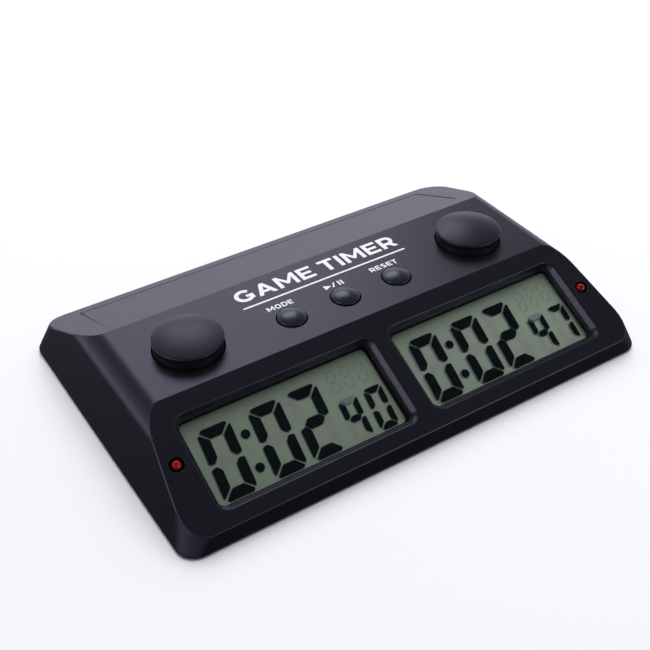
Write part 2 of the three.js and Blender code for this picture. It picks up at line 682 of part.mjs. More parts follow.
// The outline of a domed top from its side to the axis: a short round, then a spherical cap.
function crown(radius, rim, top, round, steps) {
  const capRadius = radius - round;
  const rise = top - rim - round / 2;
  const sphere = (capRadius ** 2 + rise ** 2) / (2 * rise);
  const slant = round / 3;
  const points = [[radius, rim], [radius - slant, rim + slant]];
  for (let i = 0; i <= steps; i += 1) {
    const r = capRadius * (1 - i / steps);
    points.push([r, top - sphere + Math.sqrt(sphere ** 2 - r ** 2)]);
  }
  return points;
}

function playerSpring(side) {
  const top = DECK_Z + PLAYER_CEILING - GAP;
  const coil = coilGeometry(SPRING_RADIUS, SPRING_WIRE, BOARD_TOP + GAP, top, 3, 10);
  return coil.translate(side * PLAYER_X, PLAYER_Y, 0);
}

// A square tactile switch with its plunger.
function tactileSwitch(x, y, plungerTop) {
  const half = SWITCH_BODY / 2;
  const top = BOARD_TOP + GAP + SWITCH_HEIGHT;
  return box([x - half, y - half, BOARD_TOP + GAP], [x + half, y + half, top])
    .add(rod(PLUNGER_RADIUS, x, y, top - 1, plungerTop, 10));
}

// ---- Electronics ----

function mainBoard() {
  const bottom = BOARD_TOP - BOARD_THICKNESS;
  const sheet = box(
    [-BOARD_HALF_WIDTH, BOARD_FRONT_Y, bottom],
    [BOARD_HALF_WIDTH, BOARD_REAR_Y, BOARD_TOP],
  );
  return sheet.subtract(unite(BOARD_POSTS.map(([x, y]) => rod(SCREW_RADIUS + GAP, x, y, 0, DECK_Z, 8))));
}

function controllerChip() {
  const { x, y, half, height } = CHIP;
  const bottom = BOARD_TOP + GAP;
  return boxGeometry([x - half, y - half, bottom], [x + half, y + half, bottom + height]);
}

function crystal() {
  const { x, y, radius, halfLength } = CRYSTAL;
  const can = rodGeometry(radius, 0, 0, -halfLength, halfLength).rotateY(Math.PI / 2);
  return can.translate(x, y, BOARD_TOP + GAP + radius);
}

function buzzer() {
  const top = BOARD_TOP - BOARD_THICKNESS - GAP;
  const mouth = rod(BUZZER_MOUTH, 0, BUZZER_Y, 0, top - BUZZER_HEIGHT + BUZZER_MOUTH, 8);
  return rod(BUZZER_RADIUS, 0, BUZZER_Y, top - BUZZER_HEIGHT, top, 20).subtract(mouth);
}

// ---- Batteries and their contacts ----

// A cell on its side, with its button towards +X for direction 1 and towards -X for direction -1.
function cell(direction, y) {
  const tip = PLATE_X - PLATE_THICKNESS - GAP;
  const profile = [
    [0, tip - CELL_BUTTON - 2 * CELL_HALF_LENGTH],
    [CELL_RADIUS, tip - CELL_BUTTON - 2 * CELL_HALF_LENGTH],
    [CELL_RADIUS, tip - CELL_BUTTON],
    [CELL_BUTTON_RADIUS, tip - CELL_BUTTON],
    [CELL_BUTTON_RADIUS, tip],
    [0, tip],
  ];
  return latheGeometry(profile, 20).rotateY((direction * Math.PI) / 2).translate(0, y, CELL_Z);
}

// The spring that presses on the flat end of a cell.
function contactSpring(direction, y) {
  const plateFace = PLATE_X - PLATE_THICKNESS - GAP;
  const cellFoot = plateFace - CELL_BUTTON - 2 * CELL_HALF_LENGTH;
  const coil = coilGeometry(CONTACT_SPRING_RADIUS, CONTACT_WIRE, GAP - plateFace, cellFoot - GAP, 2, 8);
  return coil.rotateY((direction * Math.PI) / 2).translate(0, y, CELL_Z);
}

function linkPlate() {
  return boxGeometry(
    [-PLATE_X, CELL_FRONT_Y - PLATE_HALF, CELL_Z - PLATE_HALF],
    [PLATE_THICKNESS - PLATE_X, CELL_REAR_Y + PLATE_HALF, CELL_Z + PLATE_HALF],
  );
}

// An end plate with a solder tab that stands up through the roof of the battery box.
function endPlate(y) {
  const inner = PLATE_X - PLATE_THICKNESS;
  return box([inner, y - PLATE_HALF, CELL_Z - PLATE_HALF], [PLATE_X, y + PLATE_HALF, CELL_Z + PLATE_HALF])
    .add(box([inner, y - TAB_HALF_WIDTH, CELL_Z], [PLATE_X, y + TAB_HALF_WIDTH, TAB_Z]));
}

function batteryWire(y, boardX) {
  const height = TAB_Z + GAP + LEAD_RADIUS;
  return wireGeometry([
    [PLATE_X, y, height],
    [PLATE_X + 0.5, y - 4, height + 0.3],
    [boardX, BOARD_REAR_Y + 1.5, height],
    [boardX, BOARD_REAR_Y - 3, BOARD_TOP + GAP + LEAD_RADIUS],
  ], LEAD_RADIUS, 8);
}

// ---- Assembly ----

const shellPlastic = () => finish(0x17171b, 0.5);
const buttonPlastic = () => finish(0x1d1d22, 0.42);
const contactSteel = () => finish(0xc4c6c8, 0.3, 1);

addPiece('top_casing', geometryOf(topCasing()), shellPlastic());
addPiece('bottom_cover', geometryOf(bottomCover()), finish(0x141417, 0.6));
addPiece('battery_door', geometryOf(batteryDoor()), finish(0x141417, 0.6));
footPlaces().forEach(([name, x, y]) => {
  addPiece(`foot_${name}`, rodGeometry(FOOT_RADIUS, x, y, 0, FOOT_HEIGHT, 20), finish(0x232325, 0.9));
});
CASE_SCREWS.forEach(([x, y], i) => {
  const headBottom = COVER_TOP - SCREW_HEAD_HEIGHT;
  addPiece(`case_screw_${i + 1}`, geometryOf(screw(x, y, headBottom)), finish(0x8d8f93, 0.35, 1));
});
BOARD_POSTS.forEach(([x, y], i) => {
  const headBottom = BOARD_TOP - BOARD_THICKNESS - GAP - SCREW_HEAD_HEIGHT;
  addPiece(`board_screw_${i + 1}`, geometryOf(screw(x, y, headBottom)), finish(0x8d8f93, 0.35, 1));
});

Object.entries(sides).forEach(([name, side]) => {
  const paneGlass = finish(0xe8eef0, 0.05, 0, { transparent: true, opacity: 0.25 });
  addPiece(`window_${name}`, pane(), paneGlass, panel).position.set(side * WINDOW_X, WINDOW_Y, 0);
  const display = addPiece(`lcd_${name}`, lcd(), finish(0x7f8f7c, 0.35), panel);
  display.position.set(side * WINDOW_X, WINDOW_Y, 0);
  const frame = addPiece(`lcd_frame_${name}`, geometryOf(lcdFrame()), finish(0x101012, 0.7), panel);
  frame.position.set(side * WINDOW_X, WINDOW_Y, 0);
  addPiece(`lcd_ribbon_${name}`, ribbon(), finish(0xb06a2c, 0.5)).position.set(side * WINDOW_X, 0, 0);
  addPiece(`led_${name}`, led(), finish(0xc0141c, 0.15), panel).position.set(side * LED_X, LED_Y, 0);
  const lampBoard = addPiece(`led_board_${name}`, ledBoard(side), finish(0x1f5a34, 0.6), panel);
  lampBoard.position.set(side * LED_X, LED_Y, 0);
  addPiece(`led_lead_${name}`, ledLead(side), finish(0x8a1a1a, 0.6));
  addPiece(`player_button_${name}`, playerButton(side), buttonPlastic());
  addPiece(`player_spring_${name}`, playerSpring(side), contactSteel());
  const playerSwitch = tactileSwitch(side * PLAYER_X, PLAYER_Y, PLAYER_PLUNGER_Z);
  addPiece(`player_switch_${name}`, geometryOf(playerSwitch), finish(0x2a2a2c, 0.6));
});

['mode', 'play_pause', 'reset'].forEach((name, i) => {
  const place = i - 1;
  addPiece(`${name}_button`, smallButton(place), buttonPlastic());
  const smallSwitch = tactileSwitch(place * SMALL_PITCH, SMALL_Y, SMALL_PLUNGER_Z);
  addPiece(`${name}_switch`, geometryOf(smallSwitch), finish(0x2a2a2c, 0.6));
});

addPiece('main_board', geometryOf(mainBoard()), finish(0x1f5a34, 0.6));
addPiece('controller_chip', controllerChip(), finish(0x111112, 0.5));
addPiece('clock_crystal', crystal(), contactSteel());
addPiece('buzzer', geometryOf(buzzer()), finish(0x161617, 0.5));

addPiece('battery_cell_front', cell(1, CELL_FRONT_Y), finish(0x3b6ea5, 0.35, 0.3));
addPiece('battery_cell_rear', cell(-1, CELL_REAR_Y), finish(0x3b6ea5, 0.35, 0.3));
addPiece('contact_spring_front', contactSpring(1, CELL_FRONT_Y), contactSteel());
addPiece('contact_spring_rear', contactSpring(-1, CELL_REAR_Y), contactSteel());
addPiece('battery_link', linkPlate(), contactSteel());
addPiece('positive_plate', geometryOf(endPlate(CELL_FRONT_Y)), contactSteel());
addPiece('negative_plate', geometryOf(endPlate(CELL_REAR_Y)), contactSteel());
addPiece('positive_wire', batteryWire(CELL_FRONT_Y, 26), finish(0xa01818, 0.5));
addPiece('negative_wire', batteryWire(CELL_REAR_Y, 31), finish(0x101010, 0.5));

export default clock;
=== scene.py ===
"""The looks of a digital chess clock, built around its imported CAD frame. Metres, +Z up, +X right, +Y back."""

import math  # noqa: E402

import bmesh  # noqa: E402
import bpy  # noqa: E402
from mathutils import Matrix, Vector  # noqa: E402


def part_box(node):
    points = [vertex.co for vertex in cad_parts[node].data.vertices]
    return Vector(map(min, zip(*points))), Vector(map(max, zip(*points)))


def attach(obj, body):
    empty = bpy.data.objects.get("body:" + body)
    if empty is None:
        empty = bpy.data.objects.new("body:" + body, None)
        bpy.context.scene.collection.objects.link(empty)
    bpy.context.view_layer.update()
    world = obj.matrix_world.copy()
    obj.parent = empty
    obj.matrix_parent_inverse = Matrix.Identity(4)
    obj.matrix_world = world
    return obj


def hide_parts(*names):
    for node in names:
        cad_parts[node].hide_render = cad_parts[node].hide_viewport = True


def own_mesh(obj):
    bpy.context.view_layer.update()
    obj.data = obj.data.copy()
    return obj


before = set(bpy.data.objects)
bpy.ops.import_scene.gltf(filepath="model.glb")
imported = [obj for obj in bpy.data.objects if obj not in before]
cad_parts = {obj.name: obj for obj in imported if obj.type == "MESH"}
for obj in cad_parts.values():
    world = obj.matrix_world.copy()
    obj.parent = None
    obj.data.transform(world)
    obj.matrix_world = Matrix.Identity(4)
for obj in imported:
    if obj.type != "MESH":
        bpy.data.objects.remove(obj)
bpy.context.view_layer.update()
MM = 0.001
SIDES = {"left": -1, "right": 1}
SMALL_BUTTONS = ("mode", "play_pause", "reset")

# ---- Dimensions in millimetres. Those that the frame can give are read from it. ----


def node_centre(node):
    low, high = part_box(node)
    return (low + high) / 2 / MM


def node_size(node):
    low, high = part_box(node)
    return (high - low) / MM


CASING_LOW, CASING_HIGH = (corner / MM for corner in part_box("top_casing"))
HALF_WIDTH = CASING_HIGH.x
HALF_DEPTH = CASING_HIGH.y
RIM_Z = CASING_LOW.z
DECK_Z = CASING_HIGH.z
SIDE_DRAFT = 0.34
END_DRAFT = 0.13
CORNER_RADIUS = 7
CORNER_GROWTH = 0.42  # how much larger the corners get for each millimetre of height
CORNER_STEPS = 14
DECK_FILLET = 9.4
ROLL_STEPS = 16
WALL = 2.2
EDGE = 0.8  # the round on every edge of the casing
PANEL_TILT = math.radians(25.2)
PANEL_FOOT = Vector((0, -66.6, 7.5))
RIDGE_Y = 23.2
REAR_FOOT_Y, REAR_FOOT_Z = 66.3, 10.5
REAR_TILT = math.atan2(DECK_Z - REAR_FOOT_Z, REAR_FOOT_Y - RIDGE_Y)
GROOVE_HALF_WIDTH = 83.4
GROOVE_START = 8.3
GROOVE_END = 39.2
GROOVE_SECTION = 0.8
GROOVE_DEPTH = 0.5
GROOVE_LEAN = 0.15
WINDOW_Y = 25.1
WINDOW_HALF_WIDTH = 41.1
WINDOW_HIGH = 17.95
WINDOW_LOW = -19.55
WINDOW_CORNER = 4.5
BEVEL_DEPTH = 2.2
BEVEL_SIDE = 1.65
BEVEL_HIGH = 0.9
BEVEL_LOW = 1.65
BEVEL_LOW_DEPTH = 0.8
WINDOW_TAPER = 0.23
WINDOW_ROUND = 0.5  # the rounds above and below the bevel
COLLAR_HALF_WIDTH = 41.6
COLLAR_HALF_HEIGHT = 19.05
COLLAR_DEPTH = 4.2
PANE_TOP = -4.5
PANE_THICKNESS = 1
LCD_TOP = -5.8
LCD_THICKNESS = 1.8
LCD_HEIGHT = 37.2
LED_Y = 27.1
LED_HOLE = 2.7
LED_HOLE_DEPTH = 6
LED_RIM = 0.35
BUTTON_CLEARANCE = 0.4
BUTTON_HOLE_DEPTH = 8
PLAYER_RIM, SMALL_RIM = 0.25, 0.2  # the rounds of the buttons' holes
BOSS_RADIUS = 3.2
BOSS_FOOT = 5.3
BOARD_TOP = 17.5
GAP = 0.3
PILOT_RADIUS = 1.4
PILOT_ROOM = 0.6

panel_frame = Matrix.Translation(PANEL_FOOT) @ Matrix.Rotation(PANEL_TILT, 4, "X")
rear_frame = Matrix.Translation((0, RIDGE_Y, DECK_Z)) @ Matrix.Rotation(-REAR_TILT, 4, "X")
window_x = node_centre("window_right").x
led_x = node_centre("led_right").x


def at(x, y, z):
    return Matrix.Translation((x, y, z))


def window_place(side, offset=0):
    """The middle of a window on the panel."""
    return panel_frame @ at(side * window_x + offset, WINDOW_Y, 0)


def on_deck(node):
    """The deck's surface at a node's axis."""
    centre = node_centre(node)
    return at(centre.x, centre.y, DECK_Z)


def lamp_place(side):
    return panel_frame @ at(side * led_x, LED_Y, 0)


# ---- Materials ----


DISPLAYS_REACH = 0.08  # metres from the middle of the clock


class Paint:
    """A Principled material whose colour, roughness and bump come from noise in object space."""

    def __init__(self, name, colour, roughness, **sockets):
        self.material = bpy.data.materials.new(name)
        self.material.use_nodes = True
        self.tree = self.material.node_tree
        self.shader = self.tree.nodes["Principled BSDF"]
        self.place = self.tree.nodes.new("ShaderNodeTexCoord").outputs["Object"]
        self.colour, self.roughness = colour, roughness
        self.shader.inputs["Base Color"].default_value = (*colour, 1)
        self.shader.inputs["Roughness"].default_value = roughness
        for socket, value in sockets.items():
            self.shader.inputs[socket.replace("_", " ")].default_value = value

    def node(self, kind, **inputs):
        made = self.tree.nodes.new(kind)
        for key, value in inputs.items():
            socket = made.inputs[key.replace("_", " ")]
            if isinstance(value, bpy.types.NodeSocket):
                self.tree.links.new(value, socket)
            else:
                socket.default_value = value
        return made

    def noise(self, scale, detail):
        return self.node("ShaderNodeTexNoise", Vector=self.place, Scale=scale, Detail=detail).outputs["Fac"]

    def remap(self, value, low, high, source=(0.3, 0.7)):
        made = self.node("ShaderNodeMapRange", Value=value, From_Min=source[0], From_Max=source[1],
                         To_Min=low, To_Max=high)
        return made.outputs["Result"]

    def mottle(self, scale, other):
        """Colour drifts between the base colour and another one."""
        share = self.remap(self.noise(scale, 3.0), 0, 1)
        mix = self.tree.nodes.new("ShaderNodeMix")
        mix.data_type = "RGBA"
        self.tree.links.new(share, mix.inputs["Factor"])
        mix.inputs[6].default_value = (*self.colour, 1)
        mix.inputs[7].default_value = (*other, 1)
        self.tree.links.new(mix.outputs[2], self.shader.inputs["Base Color"])
        return self

    def uneven(self, scale, spread):
        """Roughness drifts either side of its base value."""
        value = self.remap(self.noise(scale, 2.0), self.roughness - spread, self.roughness + spread)
        self.tree.links.new(value, self.shader.inputs["Roughness"])
        return self

    def painted_light_across(self, left, right):
        """Painted light: multiplies the colour by a factor that grows across the clock, lighter at its right.
        """
        source = self.shader.inputs["Base Color"].links[0].from_socket
        split = self.node("ShaderNodeSeparateXYZ", Vector=self.place)
        share = self.remap(split.outputs["X"], left, right, (-DISPLAYS_REACH, DISPLAYS_REACH))
        scaled = self.tree.nodes.new("ShaderNodeVectorMath")
        scaled.operation = "SCALE"
        self.tree.links.new(source, scaled.inputs[0])
        self.tree.links.new(share, scaled.inputs["Scale"])
        self.tree.links.new(scaled.outputs[0], self.shader.inputs["Base Color"])
        return self

    def grain(self, scale, height):
        """Bump from noise, with its height in metres."""
        bump = self.node("ShaderNodeBump", Height=self.noise(scale, 1.0), Distance=height)
        self.tree.links.new(bump.outputs["Normal"], self.shader.inputs["Normal"])
        return self


def moulded(name, colour, lighter, roughness, grain_height, specular=0.56):
    """Injection-moulded plastic with a fine spark-eroded grain, and a blue tint painted into its sheen."""
    paint = Paint(name, colour, roughness, Specular_IOR_Level=specular, Specular_Tint=(0.66, 0.69, 1.0, 1))
    return paint.mottle(35, lighter).uneven(1500, 0.03).grain(3200, grain_height).material


def metal(name, colour, roughness):
    paint = Paint(name, colour, roughness, Metallic=1.0)
    return paint.mottle(260, tuple(c * 0.8 for c in colour)).uneven(500, 0.07).grain(1800, 0.00001).material


casing_black = moulded("casing_black", (0.0042, 0.0042, 0.0055), (0.0052, 0.0052, 0.0066), 0.36, 0.00002)
button_black = moulded("button_black", (0.0050, 0.0050, 0.0062), (0.0062, 0.0062, 0.0076), 0.40, 0.000012)
cap_black = moulded("cap_black", (0.0050, 0.0050, 0.0062), (0.0062, 0.0062, 0.0076), 0.30, 0.000003, 1.0)
cover_black = moulded("cover_black", (0.0050, 0.0050, 0.0056), (0.0066, 0.0066, 0.0072), 0.5, 0.00003)
holder_black = moulded("holder_black", (0.0040, 0.0040, 0.0042), (0.006, 0.006, 0.006), 0.6, 0.00002)
switch_black = moulded("switch_black", (0.012, 0.012, 0.013), (0.017, 0.017, 0.018), 0.5, 0.00001)
rubber_grey = moulded("rubber_grey", (0.013, 0.013, 0.0135), (0.019, 0.019, 0.0195), 0.85, 0.00004, 0.3)
ink_white = Paint("ink_white", (0.86, 0.86, 0.88), 0.55).mottle(400, (0.80, 0.80, 0.82)).uneven(600, 0.05) \
    .grain(4000, 0.000006).material
screw_steel = metal("screw_steel", (0.42, 0.43, 0.45), 0.32)
spring_steel = metal("spring_steel", (0.50, 0.51, 0.53), 0.28)
contact_nickel = metal("contact_nickel", (0.60, 0.58, 0.54), 0.25)
board_green = Paint("board_green", (0.010, 0.085, 0.035), 0.3).mottle(120, (0.016, 0.11, 0.045)) \
    .uneven(400, 0.05).grain(1500, 0.000015).material
ribbon_amber = Paint("ribbon_amber", (0.36, 0.17, 0.045), 0.28).mottle(150, (0.29, 0.13, 0.03)) \
    .uneven(300, 0.05).grain(900, 0.00001).material
sleeve_red = Paint("sleeve_red", (0.30, 0.012, 0.012), 0.45).mottle(300, (0.24, 0.01, 0.01)) \
    .uneven(500, 0.05).grain(2500, 0.00001).material
cell_blue = Paint("cell_blue", (0.03, 0.12, 0.30), 0.25).mottle(90, (0.025, 0.10, 0.26)) \
    .uneven(300, 0.04).grain(900, 0.00001).material
# The lamp is red; its dark mottle patches, random in place, are painted shade standing in for the dark hole
# seen through the lens.
led_red = Paint("led_red", (0.40, 0.002, 0.006), 0.07, Specular_IOR_Level=0.35) \
    .mottle(700, (0.05, 0.0006, 0.001)).uneven(900, 0.04).grain(1500, 0.00001).material


def display_paint(name, colour, other):
    """The look of a display's back, with painted light: half as light again at the clock's right as at its
    left.
    """
    paint = Paint(name, colour, 0.42, Specular_IOR_Level=0.3)
    paint.mottle(30, other).uneven(900, 0.06).grain(4500, 0.000006)
    return paint.painted_light_across(1.12, 1.68).material


# Every display colour below carries that painted light, lighter towards the clock's right.
reflector_green = display_paint("reflector_green", (0.148, 0.190, 0.142), (0.158, 0.200, 0.152))
ghost_grey = display_paint("ghost_grey", (0.148, 0.166, 0.136), (0.158, 0.172, 0.145))
ghost_faint = display_paint("ghost_faint", (0.128, 0.157, 0.122), (0.136, 0.165, 0.130))
ghost_blue = display_paint("ghost_blue", (0.085, 0.120, 0.125), (0.095, 0.130, 0.135))
shadow_blue = display_paint("shadow_blue", (0.072, 0.098, 0.098), (0.080, 0.106, 0.106))
segment_ink = Paint("segment_ink", (0.0016, 0.0030, 0.0036), 0.35, Specular_IOR_Level=0.08) \
    .mottle(200, (0.0022, 0.0036, 0.0042)).uneven(900, 0.05).grain(4500, 0.000004).material
clear_pane = Paint("clear_pane", (0.010, 0.014, 0.014), 0.06, Alpha=0.06).mottle(60, (0.014, 0.018, 0.017)) \
    .uneven(90, 0.02).grain(300, 0.000002).material

# ---- Mesh tools. Shapes are drawn in millimetres. ----


def add_object(name, bm, material, place=Matrix.Identity(4), smooth=35):
    """A piece from a mesh in millimetres, with flat faces kept flat and rounds shaded smooth."""
    bmesh.ops.recalc_face_normals(bm, faces=bm.faces)
    mesh = bpy.data.meshes.new(name)
    bm.to_mesh(mesh)
    bm.free()
    mesh.transform(Matrix.Scale(MM, 4) @ place)
    made = bpy.data.objects.new(name, mesh)
    bpy.context.scene.collection.objects.link(made)
    if material:
        mesh.materials.append(material)
    shade(made, smooth)
    return made


def shade(piece, angle=35):
    piece.data.shade_smooth()
    piece.data.set_sharp_from_angle(angle=math.radians(angle))
    if "weighted" not in piece.modifiers:
        weighted = piece.modifiers.new("weighted", "WEIGHTED_NORMAL")
        weighted.keep_sharp = True


def settled(piece):
    """Applies the piece's modifiers."""
    bpy.context.view_layer.update()
    evaluated = piece.evaluated_get(bpy.context.evaluated_depsgraph_get())
    mesh = bpy.data.meshes.new_from_object(evaluated)
    piece.modifiers.clear()
    piece.data = mesh
    return piece


def combine(piece, tools, operation):
    """Joins solids that don't touch each other to the piece, or cuts them from it, and removes them."""
    for tool in tools:
        step = piece.modifiers.new("step", "BOOLEAN")
        step.operation = operation
        step.solver = "MANIFOLD"
        step.object = tool
    settled(piece)
    for tool in tools:
        bpy.data.objects.remove(tool)
    return piece


def solid(bm, place=Matrix.Identity(4)):
    """A tool for combine()."""
    made = add_object("tool", bm, None, place)
    made.modifiers.clear()
    return made


def loft(rings):
    """A closed solid through rings of points that have the same number of points each."""
    bm = bmesh.new()
    loops = [[bm.verts.new(point) for point in ring] for ring in rings]
    count = len(loops[0])
    for lower, upper in zip(loops, loops[1:]):
        for i in range(count):
            j = (i + 1) % count
            bm.faces.new((lower[i], lower[j], upper[j], upper[i]))
    bm.faces.new(reversed(loops[0]))
    bm.faces.new(loops[-1])
    return bm


def lathe(profile, segments=96):
    """A body of revolution about +Z, from (radius, height) points that start and end on the axis."""
    bm = bmesh.new()
    rings = []
    for radius, height in profile:
        if radius < 1e-6:
            rings.append([bm.verts.new((0, 0, height))])
            continue
        turns = [2 * math.pi * i / segments for i in range(segments)]
        rings.append([bm.verts.new((radius * math.cos(a), radius * math.sin(a), height)) for a in turns])
    for lower, upper in zip(rings, rings[1:]):
        for i in range(segments):
            j = (i + 1) % segments
            corners = [ring[k % len(ring)] for ring, k in ((lower, i), (lower, j), (upper, j), (upper, i))]
            unique = list(dict.fromkeys(corners))
            if len(unique) > 2:
                bm.faces.new(unique)
    return bm


def soften(points, radius, steps=4):
    """An open outline with its inner corners rounded."""
    made = [Vector(points[0])]
    for before, corner, after in zip(points, points[1:], points[2:]):
        before, corner, after = Vector(before), Vector(corner), Vector(after)
        reach = min(radius, (before - corner).length * 0.45, (after - corner).length * 0.45)
        start = corner + (before - corner).normalized() * reach
        end = corner + (after - corner).normalized() * reach
        for i in range(steps + 1):
            t = i / steps
            made.append(start.lerp(corner, t).lerp(corner.lerp(end, t), t))
    made.append(Vector(points[-1]))
    return made


def rounded_rectangle(half_x, half_y, radius, steps=10):
    """Points of a rectangle with round corners, anticlockwise."""
    centres = [(1, 1, 0), (-1, 1, 1), (-1, -1, 2), (1, -1, 3)]
    points = []
    for sign_x, sign_y, quarter in centres:
        for i in range(steps + 1):
            angle = (quarter + i / steps) * math.pi / 2
            points.append((sign_x * (half_x - radius) + radius * math.cos(angle),
                           sign_y * (half_y - radius) + radius * math.sin(angle)))
    return points


def rounded_slab(half_x, half_y, bottom, top, corner, edge, steps=6):
    """A plate with round corners and rounded edges above and below."""
    rings = []
    for i in range(steps + 1):
        angle = math.pi / 2 * (1 - i / steps)
        inset = edge * (1 - math.cos(angle))
        rings.append((inset, bottom + edge * (1 - math.sin(angle))))
    rings += [(inset, top + bottom - height) for inset, height in reversed(rings)]
    return loft([
        [(x, y, height) for x, y in rounded_rectangle(half_x - inset, half_y - inset, corner - inset)]
        for inset, height in rings
    ])


# ---- Convex bodies from planes ----


def convex(planes, reach=300):
    """The body inside every plane. A plane is (outward unit normal, distance from the origin)."""
    bm = bmesh.new()
    bmesh.ops.create_cube(bm, size=reach)
    for normal, distance in planes:
        everything = bm.verts[:] + bm.edges[:] + bm.faces[:]
        cut = bmesh.ops.bisect_plane(bm, geom=everything, dist=1e-5, plane_co=normal * distance,
                                     plane_no=normal, clear_outer=True)
        rim = [item for item in cut["geom_cut"] if isinstance(item, bmesh.types.BMEdge)]
        if rim:
            bmesh.ops.edgeloop_fill(bm, edges=rim)
    bmesh.ops.remove_doubles(bm, verts=bm.verts, dist=1e-4)
    bmesh.ops.recalc_face_normals(bm, faces=bm.faces)
    return bm


def rounded_convex(planes, radius, facet=12):
    """The body inside every plane, with every edge rounded to a radius."""
    core = convex([(normal, distance - radius) for normal, distance in planes])
    core.normal_update()
    bm = bmesh.new()
    made = {}

    def spot(vertex, key, normal):
        if (vertex, key) not in made:
            made[vertex, key] = bm.verts.new(vertex.co + radius * normal)
        return made[vertex, key]

    def arc(vertex, edge):
        """Points round one end of an edge, from its first face to its second."""
        first, second = edge.link_faces
        angle = first.normal.angle(second.normal)
        steps = max(1, math.ceil(math.degrees(angle) / facet))
        inner = [spot(vertex, (edge, i), first.normal.slerp(second.normal, i / steps))
                 for i in range(1, steps)]
        return [spot(vertex, first, first.normal), *inner, spot(vertex, second, second.normal)]

    for face in core.faces:
        bm.faces.new([spot(corner.vert, face, face.normal) for corner in face.loops])
    for edge in core.edges:
        here, there = (arc(vertex, edge) for vertex in edge.verts)
        for i in range(len(here) - 1):
            bm.faces.new((here[i], here[i + 1], there[i + 1], there[i]))
    for vertex in core.verts:
        cap(bm, vertex, arc, radius)
    core.free()
    bmesh.ops.recalc_face_normals(bm, faces=bm.faces)
    return bm


def cap(bm, vertex, arc, radius):
    """The patch of a sphere over one corner of the core."""
    face = vertex.link_faces[0]
    ring = []
    for _ in vertex.link_faces:
        corner = next(loop for loop in face.loops if loop.vert == vertex)
        edge = corner.link_loop_prev.edge
        points = arc(vertex, edge)
        if edge.link_faces[0] != face:
            points.reverse()
        ring += points[:-1]
        face = next(other for other in edge.link_faces if other != face)
    if len(ring) == 3:
        bm.faces.new(ring)
        return
    middle = sum((point.co - vertex.co for point in ring), Vector()).normalized()
    top = bm.verts.new(vertex.co + radius * middle)
    for here, there in zip(ring, ring[1:] + ring[:1]):
        bm.faces.new((here, there, top))


def casing_planes():
    """The casing's outer form: drafted walls, round corners, panel, deck, rolled deck edges, rear face."""
    planes = [(Vector((0, 0, -1)), -RIM_Z)]
    steps = CORNER_STEPS
    for sign_x, sign_y in ((1, 1), (-1, 1), (-1, -1), (1, -1)):
        for i in range(steps + 1):
            angle = math.pi / 2 * i / steps
            across, along = math.cos(angle), math.sin(angle)
            draft = across * SIDE_DRAFT + along * END_DRAFT + CORNER_GROWTH * (across + along - 1)
            normal = Vector((sign_x * across, sign_y * along, draft))
            point = Vector((sign_x * (HALF_WIDTH - CORNER_RADIUS + CORNER_RADIUS * across),
                            sign_y * (HALF_DEPTH - CORNER_RADIUS + CORNER_RADIUS * along), RIM_Z))
            if (i == 0 and sign_y < 0) or (i == steps and sign_x < 0):
                continue  # this wall was already given by the neighbouring corner
            planes.append((normal.normalized(), normal.normalized().dot(point)))
    panel_normal = Vector((0, -math.sin(PANEL_TILT), math.cos(PANEL_TILT)))
    rear_normal = Vector((0, math.sin(REAR_TILT), math.cos(REAR_TILT)))
    planes.append((panel_normal, panel_normal.dot(PANEL_FOOT)))
    planes.append((rear_normal, rear_normal.dot(Vector((0, RIDGE_Y, DECK_Z)))))
    planes.append((Vector((0, 0, 1)), DECK_Z))
    edge_x = HALF_WIDTH - SIDE_DRAFT * (DECK_Z - RIM_Z)
    centre_x = edge_x + DECK_FILLET * (SIDE_DRAFT - math.hypot(1, SIDE_DRAFT))
    wall_angle = math.atan(SIDE_DRAFT)
    for i in range(1, ROLL_STEPS):
        angle = wall_angle + (math.pi / 2 - wall_angle) * i / ROLL_STEPS
        for side in SIDES.values():
            normal = Vector((side * math.cos(angle), 0, math.sin(angle)))
            middle = Vector((side * centre_x, 0, DECK_Z - DECK_FILLET))
            planes.append((normal, normal.dot(middle) + DECK_FILLET))
    return planes


# ---- Casing ----


def window_outline(bevel, inset, height, height_below):
    """The recess's outline with a share of its bevel and an even inset. Its lower edge has its own height."""
    half_x = WINDOW_HALF_WIDTH - bevel * BEVEL_SIDE - inset
    high = WINDOW_HIGH - bevel * BEVEL_HIGH - inset
    low = WINDOW_LOW + bevel * BEVEL_LOW + inset
    corner = WINDOW_CORNER - bevel * BEVEL_SIDE - inset
    half_y = (high - low) / 2
    outline = []
    for x, y in rounded_rectangle(half_x, half_y, corner):
        below = min(1, max(0, (corner - half_y - y) / corner))
        outline.append((x, y + high - half_y, height + below * (height_below - height)))
    return outline


def recess_path(depth):
    """(share of the bevel, inset, height) from the rim to the foot, with rounds above and below the bevel."""
    foot = COLLAR_DEPTH + 1
    path = [(0, -1, 0), (0, 0, 0), (1, 0, -depth), (1, WINDOW_TAPER * (foot - depth), -foot)]
    return soften(path, WINDOW_ROUND, 5)[1:]


def window_tool(side):
    """The recess: past the panel, round its rim, down the bevel, round again, then down the steeper walls."""
    stations = list(zip(recess_path(BEVEL_DEPTH), recess_path(BEVEL_LOW_DEPTH)))
    rings = [window_outline(0, stations[0][0].y, 1, 1)]
    rings += [window_outline(upper.x, upper.y, upper.z, lower.z) for upper, lower in stations]
    return solid(loft(rings[::-1]), window_place(side))


def hole_tool(radius, rim, depth, place):
    """A round hole with a rounded mouth at height 0 of its place."""
    profile = [(0, -depth), (radius, -depth)]
    for i in range(7):
        angle = math.pi / 2 * i / 6
        profile.append((radius + rim * (1 - math.cos(angle)), rim * (math.sin(angle) - 1)))
    profile += [(radius + rim, 1), (0, 1)]
    return solid(lathe(profile), place)


